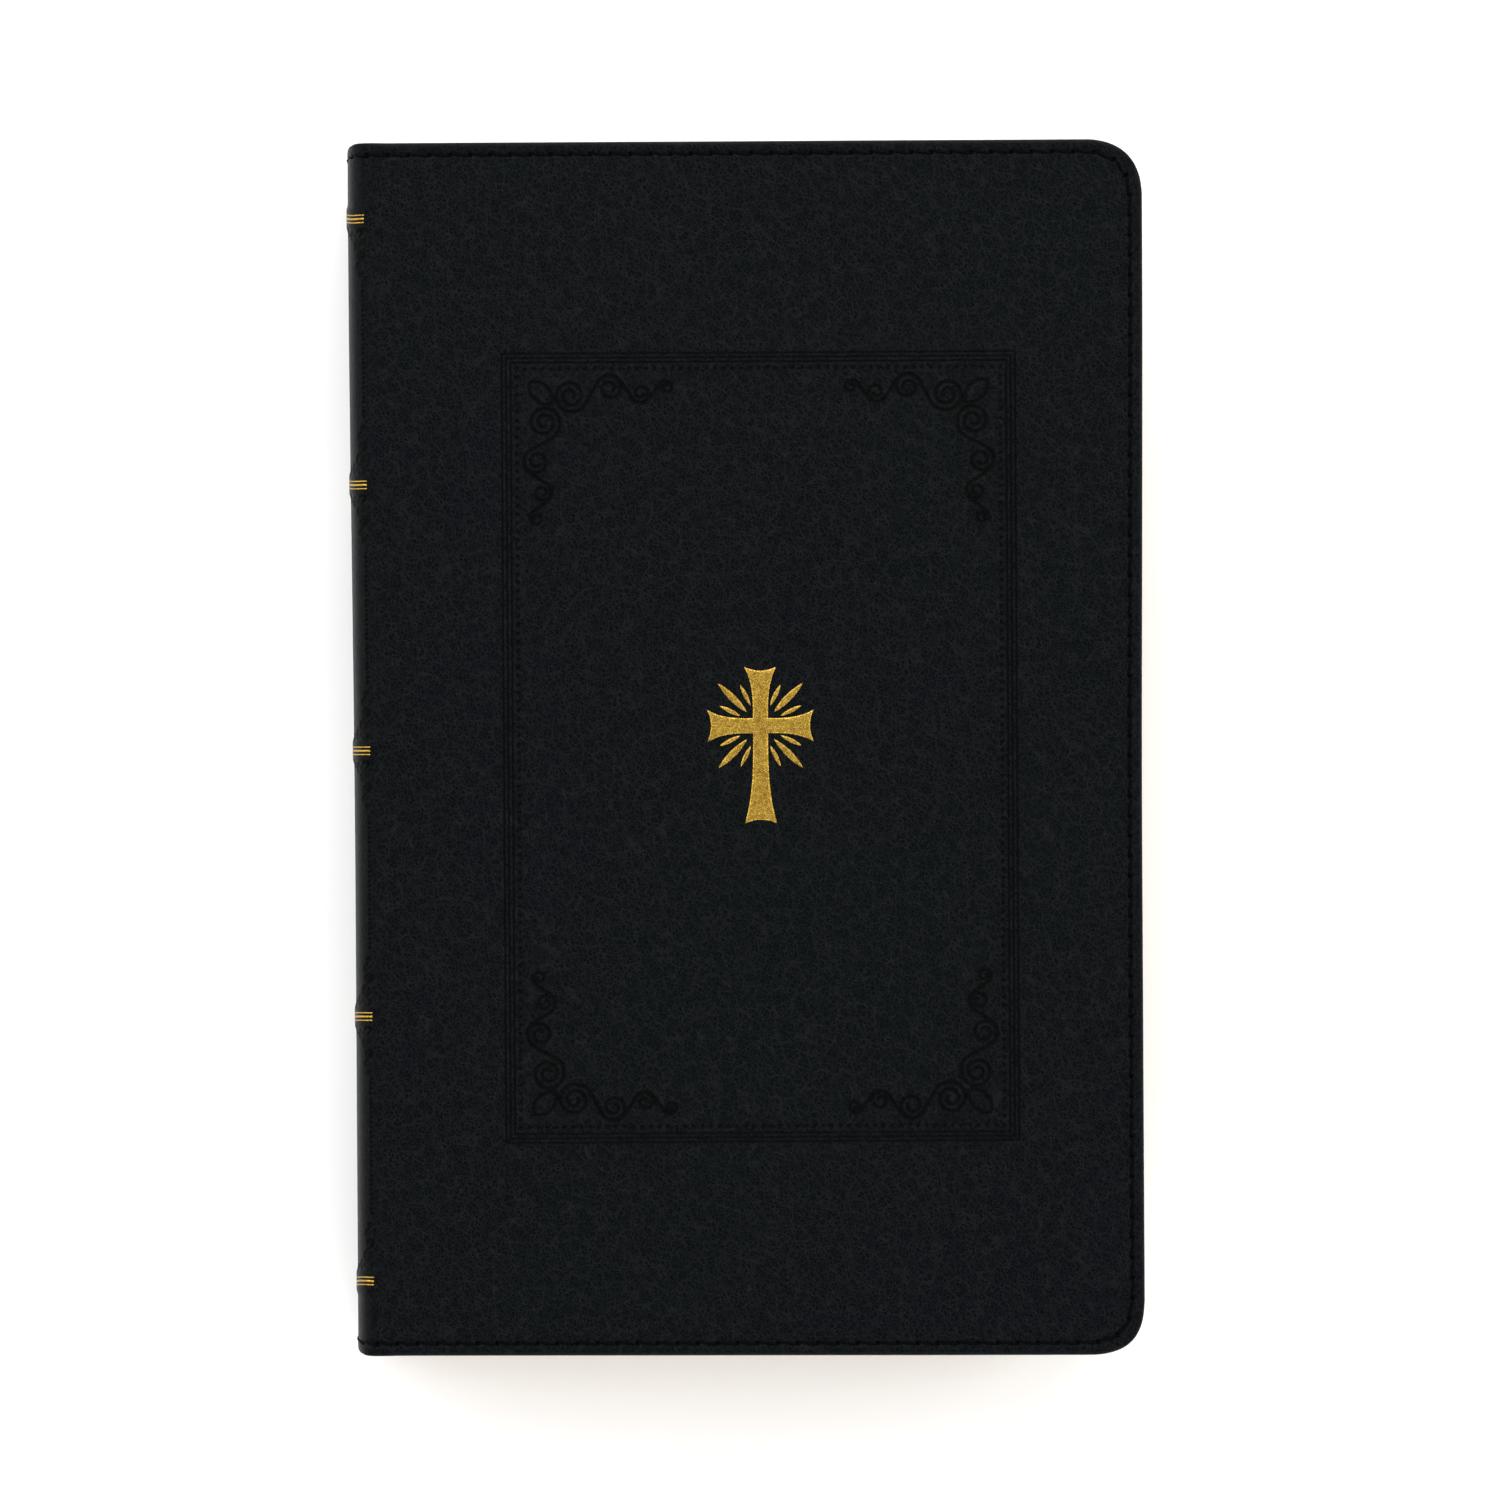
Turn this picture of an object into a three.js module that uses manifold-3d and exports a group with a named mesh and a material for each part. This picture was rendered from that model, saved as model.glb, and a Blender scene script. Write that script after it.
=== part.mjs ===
// A closed bible lying on its back cover: a sewn text block with a rounded back, held in a flexible
// imitation-leather case with a stitched edge, rounded fore-edge corners and a spine with five raised bands.
// Millimetres, +Z up. The spine is at -X, the fore edge at +X, the head at +Y and the tail at -Y.
// The origin is under the middle of the closed book, on the surface that it lies on.
import * as THREE from "three";
import { mergeVertices } from "three/addons/utils/BufferGeometryUtils.js";
import Module from "manifold-3d";

const wasm = await Module();
wasm.setup();

// Whole book
const bookWidth = 142.5;
const bookHeight = 218.5;
const bookThickness = 28;
const coverCornerRadius = 10;
const arcSegments = 20;
const cornerSegments = 8;

// Case spine, a circular arc from the back joint to the front joint
const bandHeight = 0.35;
const spineBulge = 5;
const leatherThickness = 0.8;
const bandWidth = 4.4;
const bandPitch = 47.8;
const bandOffsets = [-2, -1, 0, 1, 2];
const bandHalfSpan = 12.3;
const bandWall = 0.2;
const bandClearance = 0.05;

// One cover, measured inwards from its outer face
const boardThickness = 0.55;
const liningThickness = 0.43;
const pastedownThickness = 0.15;
const coverThickness = 2;
const layerGap = 0.03;
const edgeClearance = 0.1;
const jointGap = 0.5;
const boardJointWidth = 6.4;
const pastedownMargin = 4.5;

// Edge stitching
const stitchInset = 2.2;
const threadWidth = 0.5;
const threadDepth = 0.4;
const threadRecess = 0.05;
const bobbinDepth = 0.22;
const grooveClearance = 0.1;
const grooveEnd = 0.6;

// Text block
const headSquare = 3.2;
const foreEdgeSquare = 4;
const pageCornerRadius = 7;
const sectionCount = 16;
const sectionGap = 0.05;

// Leaves that turn
const leafThickness = 0.2;
const leafPitch = 0.3;
const frontLeafNames = ["front_flyleaf", "presentation_leaf", "title_leaf", "contents_leaf", "first_text_leaf"];
const backLeafNames = ["back_flyleaf"];
const leafHingeX = -60;
const leafStart = 2;
const guardGap = 0.4;

// Layers on the back of the text block, from the pages outwards: name, thickness, colour, length cut back
const spineLayers = [
  { name: "spine_glue", thickness: 0.3, trim: 0.5, colour: 0xd9cfa8, roughness: 0.6 },
  { name: "spine_mull", thickness: 0.25, trim: 8, colour: 0xe8e2d0, roughness: 0.95 },
  { name: "spine_liner", thickness: 0.3, trim: 5, colour: 0xb89a6a, roughness: 0.9 },
  { name: "spine_stiffener", thickness: 0.5, trim: -2.2, colour: 0x8d8577, roughness: 0.9 },
];
const spineLayerGap = 0.05;
const spineLayerInset = 0.4;

// Headbands
const headbandRadius = 0.8;
const headbandInset = 1.05;
const headbandHalfSpan = 11;

// Worked out from the dimensions above
const halfHeight = bookHeight / 2;
const midZ = bookThickness / 2;
const foreEdgeX = bookWidth / 2;
const spineCrestX = -bookWidth / 2 + bandHeight;
const spineJointX = spineCrestX + spineBulge;
const spineRadius = (midZ ** 2 + spineBulge ** 2) / (2 * spineBulge);
const spineCentreX = spineCrestX + spineRadius;
const panelLeftX = spineJointX + jointGap;
const blockHalfHeight = halfHeight - headSquare;
const layersDepth = spineLayers.reduce((sum, layer) => sum + layer.thickness + spineLayerGap, 0);
const blockBackRadius = spineRadius - leatherThickness - layersDepth - spineLayerGap;
const blockBottomZ = coverThickness + layerGap;
const blockTopZ = bookThickness - blockBottomZ;
const leafWidth = foreEdgeX - foreEdgeSquare - blockBackX(blockTopZ);

// x of the rounded back of the text block at height z.
function blockBackX(z) {
  return spineCentreX - Math.sqrt(blockBackRadius ** 2 - (z - midZ) ** 2);
}

// Materials
const finish = (color, roughness, metalness = 0) => new THREE.MeshStandardMaterial({ color, roughness, metalness });
const leather = finish(0x16181a, 0.55);
const thread = finish(0x0b0b0c, 0.7);
const board = finish(0x8d8577, 0.9);
const lining = finish(0x1b1b1c, 0.6);
const endpaper = finish(0x1d1d1f, 0.85);
const pages = finish(0xf1ead8, 0.85);
const bandCard = finish(0x8d8577, 0.9);
const headbandCloth = finish(0xc9a24a, 0.6);

const book = new THREE.Group();

function place(parent, name, geometry, material) {
  const mesh = new THREE.Mesh(geometry, material);
  mesh.name = name;
  parent.add(mesh);
}

// Shapes drawn in the cover's plane, extruded upwards from z.
function plate(shape, z, thickness) {
  const geometry = new THREE.ExtrudeGeometry(shape, { depth: thickness, bevelEnabled: false, curveSegments: 1 });
  return geometry.translate(0, 0, z);
}

// Shapes drawn in the XZ plane, extruded along Y about the middle of the book's height.
function beam(shape, length, middleY = 0) {
  const geometry = new THREE.ExtrudeGeometry(shape, {
    depth: length,
    bevelEnabled: false,
    curveSegments: arcSegments,
  });
  return geometry.rotateX(Math.PI / 2).translate(0, middleY + length / 2, 0);
}

function toSolid(geometry) {
  const bare = geometry.clone();
  bare.deleteAttribute("normal");
  bare.deleteAttribute("uv");
  const merged = mergeVertices(bare, 1e-4);
  return new wasm.Manifold(
    new wasm.Mesh({
      numProp: 3,
      vertProperties: new Float32Array(merged.attributes.position.array),
      triVerts: new Uint32Array(merged.index.array),
    }),
  );
}

function toGeometry(solid) {
  const mesh = solid.getMesh();
  const geometry = new THREE.BufferGeometry();
  geometry.setAttribute("position", new THREE.BufferAttribute(new Float32Array(mesh.vertProperties), 3));
  geometry.setIndex(new THREE.BufferAttribute(new Uint32Array(mesh.triVerts), 1));
  geometry.computeVertexNormals();
  return geometry;
}

// Points of a panel's edge from its head, round the two fore-edge corners, to its tail.
function panelEdge(left, right, halfTall, radius) {
  const points = [new THREE.Vector2(left, halfTall)];
  for (const side of [1, -1]) {
    for (let i = 0; i <= cornerSegments; i += 1) {
      const turn = (Math.PI / 2) * (side > 0 ? 1 - i / cornerSegments : -i / cornerSegments);
      const x = right - radius + radius * Math.cos(turn);
      const y = side * (halfTall - radius) + radius * Math.sin(turn);
      points.push(new THREE.Vector2(x, y));
    }
  }
  points.push(new THREE.Vector2(left, -halfTall));
  return points.reverse();
}

const coverEdge = (inset, left = panelLeftX) =>
  panelEdge(left, foreEdgeX - inset, halfHeight - inset, coverCornerRadius - inset);

// A U-shaped strip that follows the head, fore edge and tail of a cover.
function stitchStrip(width) {
  const outer = coverEdge(stitchInset - width / 2);
  const inner = coverEdge(stitchInset + width / 2).reverse();
  return new THREE.Shape([...outer, ...inner]);
}

// An arc-shaped layer round the spine's own centre, in the XZ plane, cut level at halfSpan above and below.
function spineShell(inner, outer, halfSpan) {
  const innerTurn = Math.asin(halfSpan / inner);
  const outerTurn = Math.asin(halfSpan / outer);
  const shape = new THREE.Shape();
  shape.absarc(spineCentreX, midZ, outer, Math.PI - outerTurn, Math.PI + outerTurn, false);
  shape.absarc(spineCentreX, midZ, inner, Math.PI + innerTurn, Math.PI - innerTurn, true);
  return shape;
}

// The leather round the spine, whose ends stand upright at the two joints.
function spineLeatherShape() {
  const reach = spineCentreX - spineJointX;
  const inner = spineRadius - leatherThickness;
  const outerTurn = Math.acos(reach / spineRadius);
  const innerTurn = Math.acos(reach / inner);
  const shape = new THREE.Shape();
  shape.absarc(spineCentreX, midZ, spineRadius, Math.PI - outerTurn, Math.PI + outerTurn, false);
  shape.absarc(spineCentreX, midZ, inner, Math.PI + innerTurn, Math.PI - innerTurn, true);
  return shape;
}

function makeSpineLeather() {
  const inner = spineRadius - leatherThickness;
  let solid = toSolid(beam(spineLeatherShape(), bookHeight));
  for (const offset of bandOffsets) {
    const ridge = spineShell(spineRadius - leatherThickness / 2, spineRadius + bandHeight, bandHalfSpan);
    const pocket = spineShell(inner - 1, inner + bandHeight, bandHalfSpan - bandWall);
    solid = solid.add(toSolid(beam(ridge, bandWidth, offset * bandPitch)));
    solid = solid.subtract(toSolid(beam(pocket, bandWidth - 2 * bandWall, offset * bandPitch)));
  }
  for (const side of [1, -1]) {
    const groove = spineShell(spineRadius - threadDepth - spineLayerGap, spineRadius + 1, midZ - grooveEnd);
    const width = threadWidth + 2 * grooveClearance;
    solid = solid.subtract(toSolid(beam(groove, width, side * (halfHeight - stitchInset))));
  }
  return toGeometry(solid);
}

function addSpine() {
  place(book, "spine_leather", makeSpineLeather(), leather);
  bandOffsets.forEach((offset, i) => {
    const low = spineRadius - leatherThickness + spineLayerGap / 2;
    const inset = bandWall + bandClearance;
    const strip = spineShell(low, low + bandHeight - spineLayerGap, bandHalfSpan - inset);
    place(book, `raised_band_${i + 1}`, beam(strip, bandWidth - 2 * inset, offset * bandPitch), bandCard);
  });
  for (const [name, side] of [["spine_head_thread", 1], ["spine_tail_thread", -1]]) {
    const strip = spineShell(spineRadius - threadDepth, spineRadius - threadRecess, midZ - grooveEnd - 0.2);
    place(book, name, beam(strip, threadWidth, side * (halfHeight - stitchInset)), thread);
  }
  let radius = blockBackRadius + spineLayerGap;
  for (const layer of spineLayers) {
    const shell = spineShell(radius, radius + layer.thickness, midZ - blockBottomZ - spineLayerInset);
    const length = 2 * (blockHalfHeight - layer.trim);
    place(book, layer.name, beam(shell, length), finish(layer.colour, layer.roughness));
    radius += layer.thickness + spineLayerGap;
  }
}

// A tube along the rounded back, over the ends of the pages.
function addHeadbands() {
  const radius = blockBackRadius - headbandInset;
  const reach = Math.asin(headbandHalfSpan / radius);
  const section = new THREE.Shape();
  section.absarc(0, 0, headbandRadius, 0, 2 * Math.PI, false);
  for (const [name, side] of [["headband", 1], ["tailband", -1]]) {
    const y = side * (blockHalfHeight + headbandRadius + 0.1);
    const points = [];
    for (let i = 0; i <= arcSegments; i += 1) {
      const turn = Math.PI - reach + (2 * reach * i) / arcSegments;
      points.push(new THREE.Vector3(spineCentreX + radius * Math.cos(turn), y, midZ + radius * Math.sin(turn)));
    }
    const extrudePath = new THREE.CatmullRomCurve3(points);
    const geometry = new THREE.ExtrudeGeometry(section, { extrudePath, steps: arcSegments, curveSegments: 6 });
    place(book, name, geometry, headbandCloth);
  }
}

// Folded sections of pages. Each one is pushed back by the round of the spine, so the fore edge is hollow.
function pageSlab(bottom, top) {
  const edge = panelEdge(0, leafWidth, blockHalfHeight, pageCornerRadius);
  const geometry = plate(new THREE.Shape(edge), bottom, top - bottom);
  const position = geometry.attributes.position;
  for (let i = 0; i < position.count; i += 1) {
    position.setX(i, position.getX(i) + blockBackX(position.getZ(i)));
  }
  return geometry;
}

function addSections() {
  const bottom = blockBottomZ + backLeafNames.length * leafPitch + sectionGap;
  const top = blockTopZ - frontLeafNames.length * leafPitch - sectionGap;
  const pitch = (top - bottom) / sectionCount;
  for (let i = 0; i < sectionCount; i += 1) {
    const low = bottom + i * pitch;
    const number = String(i + 1).padStart(2, "0");
    place(book, `section_${number}`, pageSlab(low, low + pitch - sectionGap), pages);
  }
}

// Single leaves that turn on a line a little way in from the back, and the guards that hold them there.
function addLeaves() {
  const leaf = (name, middle) => {
    const right = blockBackX(middle) + leafWidth;
    const edge = panelEdge(leafHingeX + leafStart, right, blockHalfHeight, pageCornerRadius);
    const slab = plate(new THREE.Shape(edge), middle - leafThickness / 2, leafThickness);
    place(book, name, slab, name.endsWith("flyleaf") ? endpaper : pages);
  };
  const firstMiddle = leafPitch / 2;
  frontLeafNames.forEach((name, i) => leaf(name, blockTopZ - firstMiddle - i * leafPitch));
  backLeafNames.forEach((name, i) => leaf(name, blockBottomZ + firstMiddle + i * leafPitch));

  const guard = (name, low, high) => {
    const left = blockBackX(blockTopZ) + edgeClearance;
    const corners = [
      new THREE.Vector2(left, -blockHalfHeight),
      new THREE.Vector2(leafHingeX - guardGap, -blockHalfHeight),
      new THREE.Vector2(leafHingeX - guardGap, blockHalfHeight),
      new THREE.Vector2(left, blockHalfHeight),
    ];
    place(book, name, plate(new THREE.Shape(corners), low, high - low), pages);
  };
  guard("front_leaf_guard", blockTopZ - frontLeafNames.length * leafPitch, blockTopZ);
  guard("back_leaf_guard", blockBottomZ, blockBottomZ + backLeafNames.length * leafPitch);
}

// One cover, drawn as the front one with its outer face up.
function addCover(side, parent) {
  const top = bookThickness;
  const boardTop = top - leatherThickness - layerGap;
  const liningTop = boardTop - boardThickness - layerGap;
  const liningBottom = liningTop - liningThickness;
  const pastedownTop = liningBottom - layerGap / 2;
  const grooveWidth = threadWidth + 2 * grooveClearance;

  const shell = toSolid(plate(new THREE.Shape(coverEdge(0)), liningBottom, top - liningBottom));
  const pocketEdge = coverEdge(leatherThickness, panelLeftX - 1);
  const pocketDepth = top - leatherThickness - liningBottom;
  const pocket = toSolid(plate(new THREE.Shape(pocketEdge), liningBottom - 1, pocketDepth + 1));
  const outerGroove = toSolid(plate(stitchStrip(grooveWidth), top - threadDepth - layerGap, 1));
  place(parent, `${side}_cover_leather`, toGeometry(shell.subtract(pocket).subtract(outerGroove)), leather);
  const topThread = plate(stitchStrip(threadWidth), top - threadDepth, threadDepth - threadRecess);
  place(parent, `${side}_cover_thread`, topThread, thread);

  const inside = leatherThickness + edgeClearance;
  const boardEdge = coverEdge(inside, panelLeftX + boardJointWidth);
  place(parent, `${side}_cover_board`, plate(new THREE.Shape(boardEdge), boardTop - boardThickness, boardThickness), board);

  const liningSheet = toSolid(plate(new THREE.Shape(coverEdge(inside)), liningBottom, liningThickness));
  const innerGroove = toSolid(plate(stitchStrip(grooveWidth), liningBottom - 1, 1 + bobbinDepth + layerGap));
  place(parent, `${side}_cover_lining`, toGeometry(liningSheet.subtract(innerGroove)), lining);
  place(parent, `${side}_bobbin_thread`, plate(stitchStrip(threadWidth), liningBottom, bobbinDepth), thread);

  const sheet = new THREE.Shape(coverEdge(pastedownMargin, panelLeftX + 1));
  place(parent, `${side}_pastedown`, plate(sheet, pastedownTop - pastedownThickness, pastedownThickness), endpaper);
}

function addCovers() {
  addCover("front", book);
  const back = new THREE.Group();
  back.scale.z = -1;
  back.position.z = bookThickness;
  addCover("back", back);
  book.add(back);
}

addSpine();
addHeadbands();
addSections();
addLeaves();
addCovers();

export default book;
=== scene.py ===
"""A closed bible in black imitation leather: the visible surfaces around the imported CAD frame.

Sizes here are in millimetres, and become metres where a mesh is made. The leather is built flat, in
unrolled coordinates: u runs from the back joint's crease round the spine (or across the back cover) to
a fore edge, v from tail to head, and a height raster over them holds everything pressed into it.
"""

import math

import bmesh
import bpy
import numpy as np
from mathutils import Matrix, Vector
from mathutils.geometry import delaunay_2d_cdt


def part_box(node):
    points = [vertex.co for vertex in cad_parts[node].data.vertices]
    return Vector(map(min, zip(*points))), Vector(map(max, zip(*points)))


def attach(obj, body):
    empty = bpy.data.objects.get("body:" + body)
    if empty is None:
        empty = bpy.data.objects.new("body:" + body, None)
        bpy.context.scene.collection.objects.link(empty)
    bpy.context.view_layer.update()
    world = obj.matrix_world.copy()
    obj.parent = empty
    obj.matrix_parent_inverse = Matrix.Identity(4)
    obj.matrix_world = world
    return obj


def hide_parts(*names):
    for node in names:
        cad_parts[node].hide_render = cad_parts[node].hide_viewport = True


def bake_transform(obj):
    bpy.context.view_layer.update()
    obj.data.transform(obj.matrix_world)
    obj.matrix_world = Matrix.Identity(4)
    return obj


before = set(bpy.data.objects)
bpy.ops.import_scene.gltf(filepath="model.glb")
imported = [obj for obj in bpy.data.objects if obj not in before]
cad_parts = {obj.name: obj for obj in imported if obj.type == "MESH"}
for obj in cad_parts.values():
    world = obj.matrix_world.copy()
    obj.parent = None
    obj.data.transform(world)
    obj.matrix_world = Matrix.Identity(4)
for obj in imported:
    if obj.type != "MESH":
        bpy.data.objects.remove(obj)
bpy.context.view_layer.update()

MM = 0.001


def cad_box(node):
    """A CAD node's lowest and highest corners, in millimetres."""
    low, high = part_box(node)
    return np.array(low) / MM, np.array(high) / MM


# ---------------------------------------------------------------- dimensions taken from the frame
spine_low, spine_high = cad_box("spine_leather")
cover_low, cover_high = cad_box("front_cover_leather")
band_low, band_high = cad_box("raised_band_5")
band_below_low, band_below_high = cad_box("raised_band_4")
middle_section_low, middle_section_high = cad_box("section_08")

BAND_HEIGHT = 0.35
LEATHER = 0.8
SPINE_EDGE_RADIUS = 0.38
COVER_EDGE_RADIUS = 0.75
THICKNESS = cover_high[2]
MID_Z = THICKNESS / 2
HALF_HEIGHT = cover_high[1]
FORE_EDGE_X = cover_high[0]
JOINT_X = spine_high[0]
SPINE_BULGE = JOINT_X - spine_low[0] - BAND_HEIGHT
SPINE_RADIUS = (MID_Z**2 + SPINE_BULGE**2) / (2 * SPINE_BULGE)
SPINE_CENTRE_X = JOINT_X - SPINE_BULGE + SPINE_RADIUS
SPINE_FULLNESS = 3.2
PANEL_WIDTH = FORE_EDGE_X - JOINT_X
COVER_DEPTH = cover_high[2] - cover_low[2]
CORNER_RADIUS = 10.0
BAND_PITCH = (band_high[1] + band_low[1] - band_below_high[1] - band_below_low[1]) / 2
BLOCK_RADIUS = SPINE_CENTRE_X - middle_section_low[0]
LEAF_WIDTH = middle_section_high[0] - middle_section_low[0]
BLOCK_HALF_HEIGHT = middle_section_high[1]
PAGE_CORNER = 7.0

# ---------------------------------------------------------------- what is pressed into the leather
PIXEL = 0.1
BASE_CELL = 3.2
LEVELS = 4
MESH_TOLERANCE = 0.034
STITCH_INSET = 2.25
STITCH_PITCH = 3.6
STITCH_START = 1.2
STITCH_RADIUS = 0.22
STITCH_SIDES = 8
STITCH_ARCH = np.sin(math.pi * np.linspace(0, 1, 9)) ** 0.45
FRAME_HALF_WIDTH = 46.2
FRAME_HALF_HEIGHT = 70.9
FRAME_LINES = (0.0, 0.8, 1.6)
LINE_DEPTH = 0.11
LINE_WIDTH = 0.2
DOT_INSET = 2.75
DOT_PITCH = 1.54
DOT_RADIUS = 0.42
DOT_DEPTH = 0.12
TOOL_SOFTNESS = 0.16
SCROLL_WIDTH = 0.33
SCROLL_DEPTH = 0.13
SPIRAL_CENTRES = ((12.4, 7.6), (19.4, 6.3), (25.0, 7.2), (29.6, 6.2))
SPIRAL_RADII = (3.1, 2.4, 1.8, 1.3)
SPINE_SCROLL_SCALE = 0.33
SPINE_SCROLL_PLAN = 2.5
SPINE_DOT_PLAN = 3.1
SPINE_DOT_PITCH = 0.85
SPINE_DOT_RADIUS = 0.26
BAND_RISE = 0.25
BAND_HALF_WIDTH = 2.2
BAND_SHOULDER = 0.8
BAND_PLAN = 4.1
GOLD_LINE_PLAN = 3.5
JOINT_VALLEY = 0.16
GOLD_LINES = ((-0.67, 0.10), (0.0, 0.17), (0.67, 0.10))


def smoothstep(low, high, x):
    t = np.clip((x - low) / (high - low), 0, 1)
    return t * t * (3 - 2 * t)


def lengths_along(path):
    """How far along a path each of its points lies."""
    return np.concatenate([[0], np.cumsum(np.linalg.norm(np.diff(path, axis=0), axis=1))])


# ---------------------------------------------------------------- meshes
def new_object(name, vertices, faces, materials, face_material=None, uv=None):
    """A smooth-shaded mesh object from millimetre points, with an optional map of unrolled coordinates."""
    mesh = bpy.data.meshes.new(name)
    mesh.from_pydata((np.asarray(vertices) * MM).tolist(), [], faces)
    mesh.validate()
    for material in materials:
        mesh.materials.append(material)
    if face_material is not None:
        mesh.polygons.foreach_set("material_index", np.asarray(face_material, np.int32))
    if uv is not None:
        layer = mesh.uv_layers.new(name="unrolled")
        corner_vertex = np.zeros(len(mesh.loops), np.int32)
        mesh.loops.foreach_get("vertex_index", corner_vertex)
        layer.data.foreach_set("uv", (np.asarray(uv)[corner_vertex] * MM).astype(np.float32).ravel())
    mesh.polygons.foreach_set("use_smooth", [len(polygon.vertices) <= 4 for polygon in mesh.polygons])
    mesh.update()
    obj = bpy.data.objects.new(name, mesh)
    bpy.context.scene.collection.objects.link(obj)
    return obj


def face_outwards(obj):
    """Turns every face of a closed mesh outwards."""
    work = bmesh.new()
    work.from_mesh(obj.data)
    bmesh.ops.recalc_face_normals(work, faces=work.faces)
    work.to_mesh(obj.data)
    work.free()
    obj.data.update()


def grid_faces(rows, columns, offset=0, closed=False, flip=False):
    """Quads of a rows x columns grid of vertices that starts at offset, closed over its columns or not."""
    faces = []
    for i in range(rows - 1):
        for j in range(columns if closed else columns - 1):
            k = (j + 1) % columns
            a = offset + i * columns + j
            b = offset + i * columns + k
            c = offset + (i + 1) * columns + k
            d = offset + (i + 1) * columns + j
            faces.append((a, d, c, b) if flip else (a, b, c, d))
    return faces


def ring_faces(rings, sides):
    """The faces of a closed stack of rings, with its two end caps last."""
    last = (rings - 1) * sides
    caps = [tuple(range(sides))[::-1], tuple(range(last, last + sides))]
    return grid_faces(rings, sides, closed=True) + caps


def tube(centres, radii, sides, up):
    """Rings of a closed tube along centres, whose last axis points along up, and its faces with end caps."""
    centres = np.asarray(centres, float)
    forward = np.gradient(centres, axis=0)
    forward /= np.linalg.norm(forward, axis=1)[:, None]
    side = np.cross(forward, np.asarray(up, float))
    side /= np.linalg.norm(side, axis=1)[:, None]
    top = np.cross(side, forward)
    turn = np.arange(sides) / sides * 2 * math.pi
    ring = side[:, None, :] * np.cos(turn)[None, :, None] + top[:, None, :] * np.sin(turn)[None, :, None]
    vertices = centres[:, None, :] + ring * np.asarray(radii)[:, None, None]
    return vertices.reshape(-1, 3), ring_faces(len(centres), sides)


def merge(parts):
    """One vertex list and face list from several."""
    vertices, faces, offset = [], [], 0
    for part_vertices, part_faces in parts:
        vertices.append(np.asarray(part_vertices))
        faces += [tuple(i + offset for i in face) for face in part_faces]
        offset += len(part_vertices)
    return np.concatenate(vertices), faces


# ---------------------------------------------------------------- the case's cross-section
PROFILE_STEP = 0.1
CREASE_SOFTNESS = 0.4


def spine_outline():
    """The spine's outer cross-section, a superellipse, at even steps from the back joint to the front one."""
    turn = np.linspace(-math.pi / 2, math.pi / 2, 4001)
    x = JOINT_X - SPINE_BULGE * np.abs(np.cos(turn)) ** (2 / SPINE_FULLNESS)
    z = MID_Z * (1 + np.sign(turn) * np.abs(np.sin(turn)) ** (2 / SPINE_FULLNESS))
    along = lengths_along(np.stack([x, z], 1))
    even = np.linspace(0, along[-1], int(along[-1] / PROFILE_STEP) + 1)
    return np.stack([np.interp(even, along, x), np.interp(even, along, z)], 1), along[-1]


SPINE_OUTLINE, SPINE_ARC = spine_outline()


def case_profile():
    """The outer cross-section, from the back fore edge round the spine to the front fore edge."""
    flat = np.arange(0, PANEL_WIDTH, PROFILE_STEP)
    back = np.stack([FORE_EDGE_X - flat, np.zeros_like(flat)], 1)
    front = np.stack([JOINT_X + flat, np.full_like(flat, THICKNESS)], 1)
    front = np.concatenate([front, [[FORE_EDGE_X, THICKNESS]]])
    points = np.concatenate([back, SPINE_OUTLINE[:-1], front])
    reach = int(4 * CREASE_SOFTNESS / PROFILE_STEP)
    weights = np.exp(-0.5 * (np.arange(-reach, reach + 1) * PROFILE_STEP / CREASE_SOFTNESS) ** 2)
    weights /= weights.sum()
    soft = points.copy()
    for axis in (0, 1):
        padded = np.concatenate([
            2 * points[0, axis] - points[reach:0:-1, axis],
            points[:, axis],
            2 * points[-1, axis] - points[-2:-reach - 2:-1, axis],
        ])
        soft[:, axis] = np.convolve(padded, weights, mode="valid")
    tangent = np.gradient(soft, axis=0)
    tangent /= np.linalg.norm(tangent, axis=1)[:, None]
    normal = np.stack([-tangent[:, 1], tangent[:, 0]], 1)
    return lengths_along(points), soft, normal


PROFILE_ALONG, PROFILE_POINT, PROFILE_NORMAL = case_profile()
SEAM = PANEL_WIDTH
SPINE_MIDDLE_U = SPINE_ARC / 2
CASE_LENGTH = PROFILE_ALONG[-1]
FRONT_U = CASE_LENGTH - SEAM
TAIL_SKEW = 0.3
SPINE_TURN_IN = 1.2
TAIL_FULLNESS = 0.85
HEAD_FULLNESS = 0.4
HEAD_TAPER = 0.6
FRAME_CENTRE_U = SPINE_ARC + PANEL_WIDTH / 2
FRAME_CENTRE_Y = 0.2
DEVICE_S = SEAM + FRAME_CENTRE_U
DEVICE_Y = FRAME_CENTRE_Y + 0.5
FRONT_JOINT = (SPINE_ARC - 0.5, SPINE_ARC + 3)
BACK_JOINT = (0, 3)


def front_s(u):
    """The arc position of a place on the spine and front cover."""
    return SEAM + u


def back_s(u):
    """The arc position of a place on the back cover."""
    return SEAM - u


def u_from_crest(distance):
    """The unrolled place on the spine's front shoulder, by its distance in plan from the crest."""
    x = SPINE_OUTLINE[len(SPINE_OUTLINE) // 2:, 0]
    along = np.linspace(SPINE_ARC / 2, SPINE_ARC, len(x))
    return float(np.interp(JOINT_X - SPINE_BULGE + distance, x, along))


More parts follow.
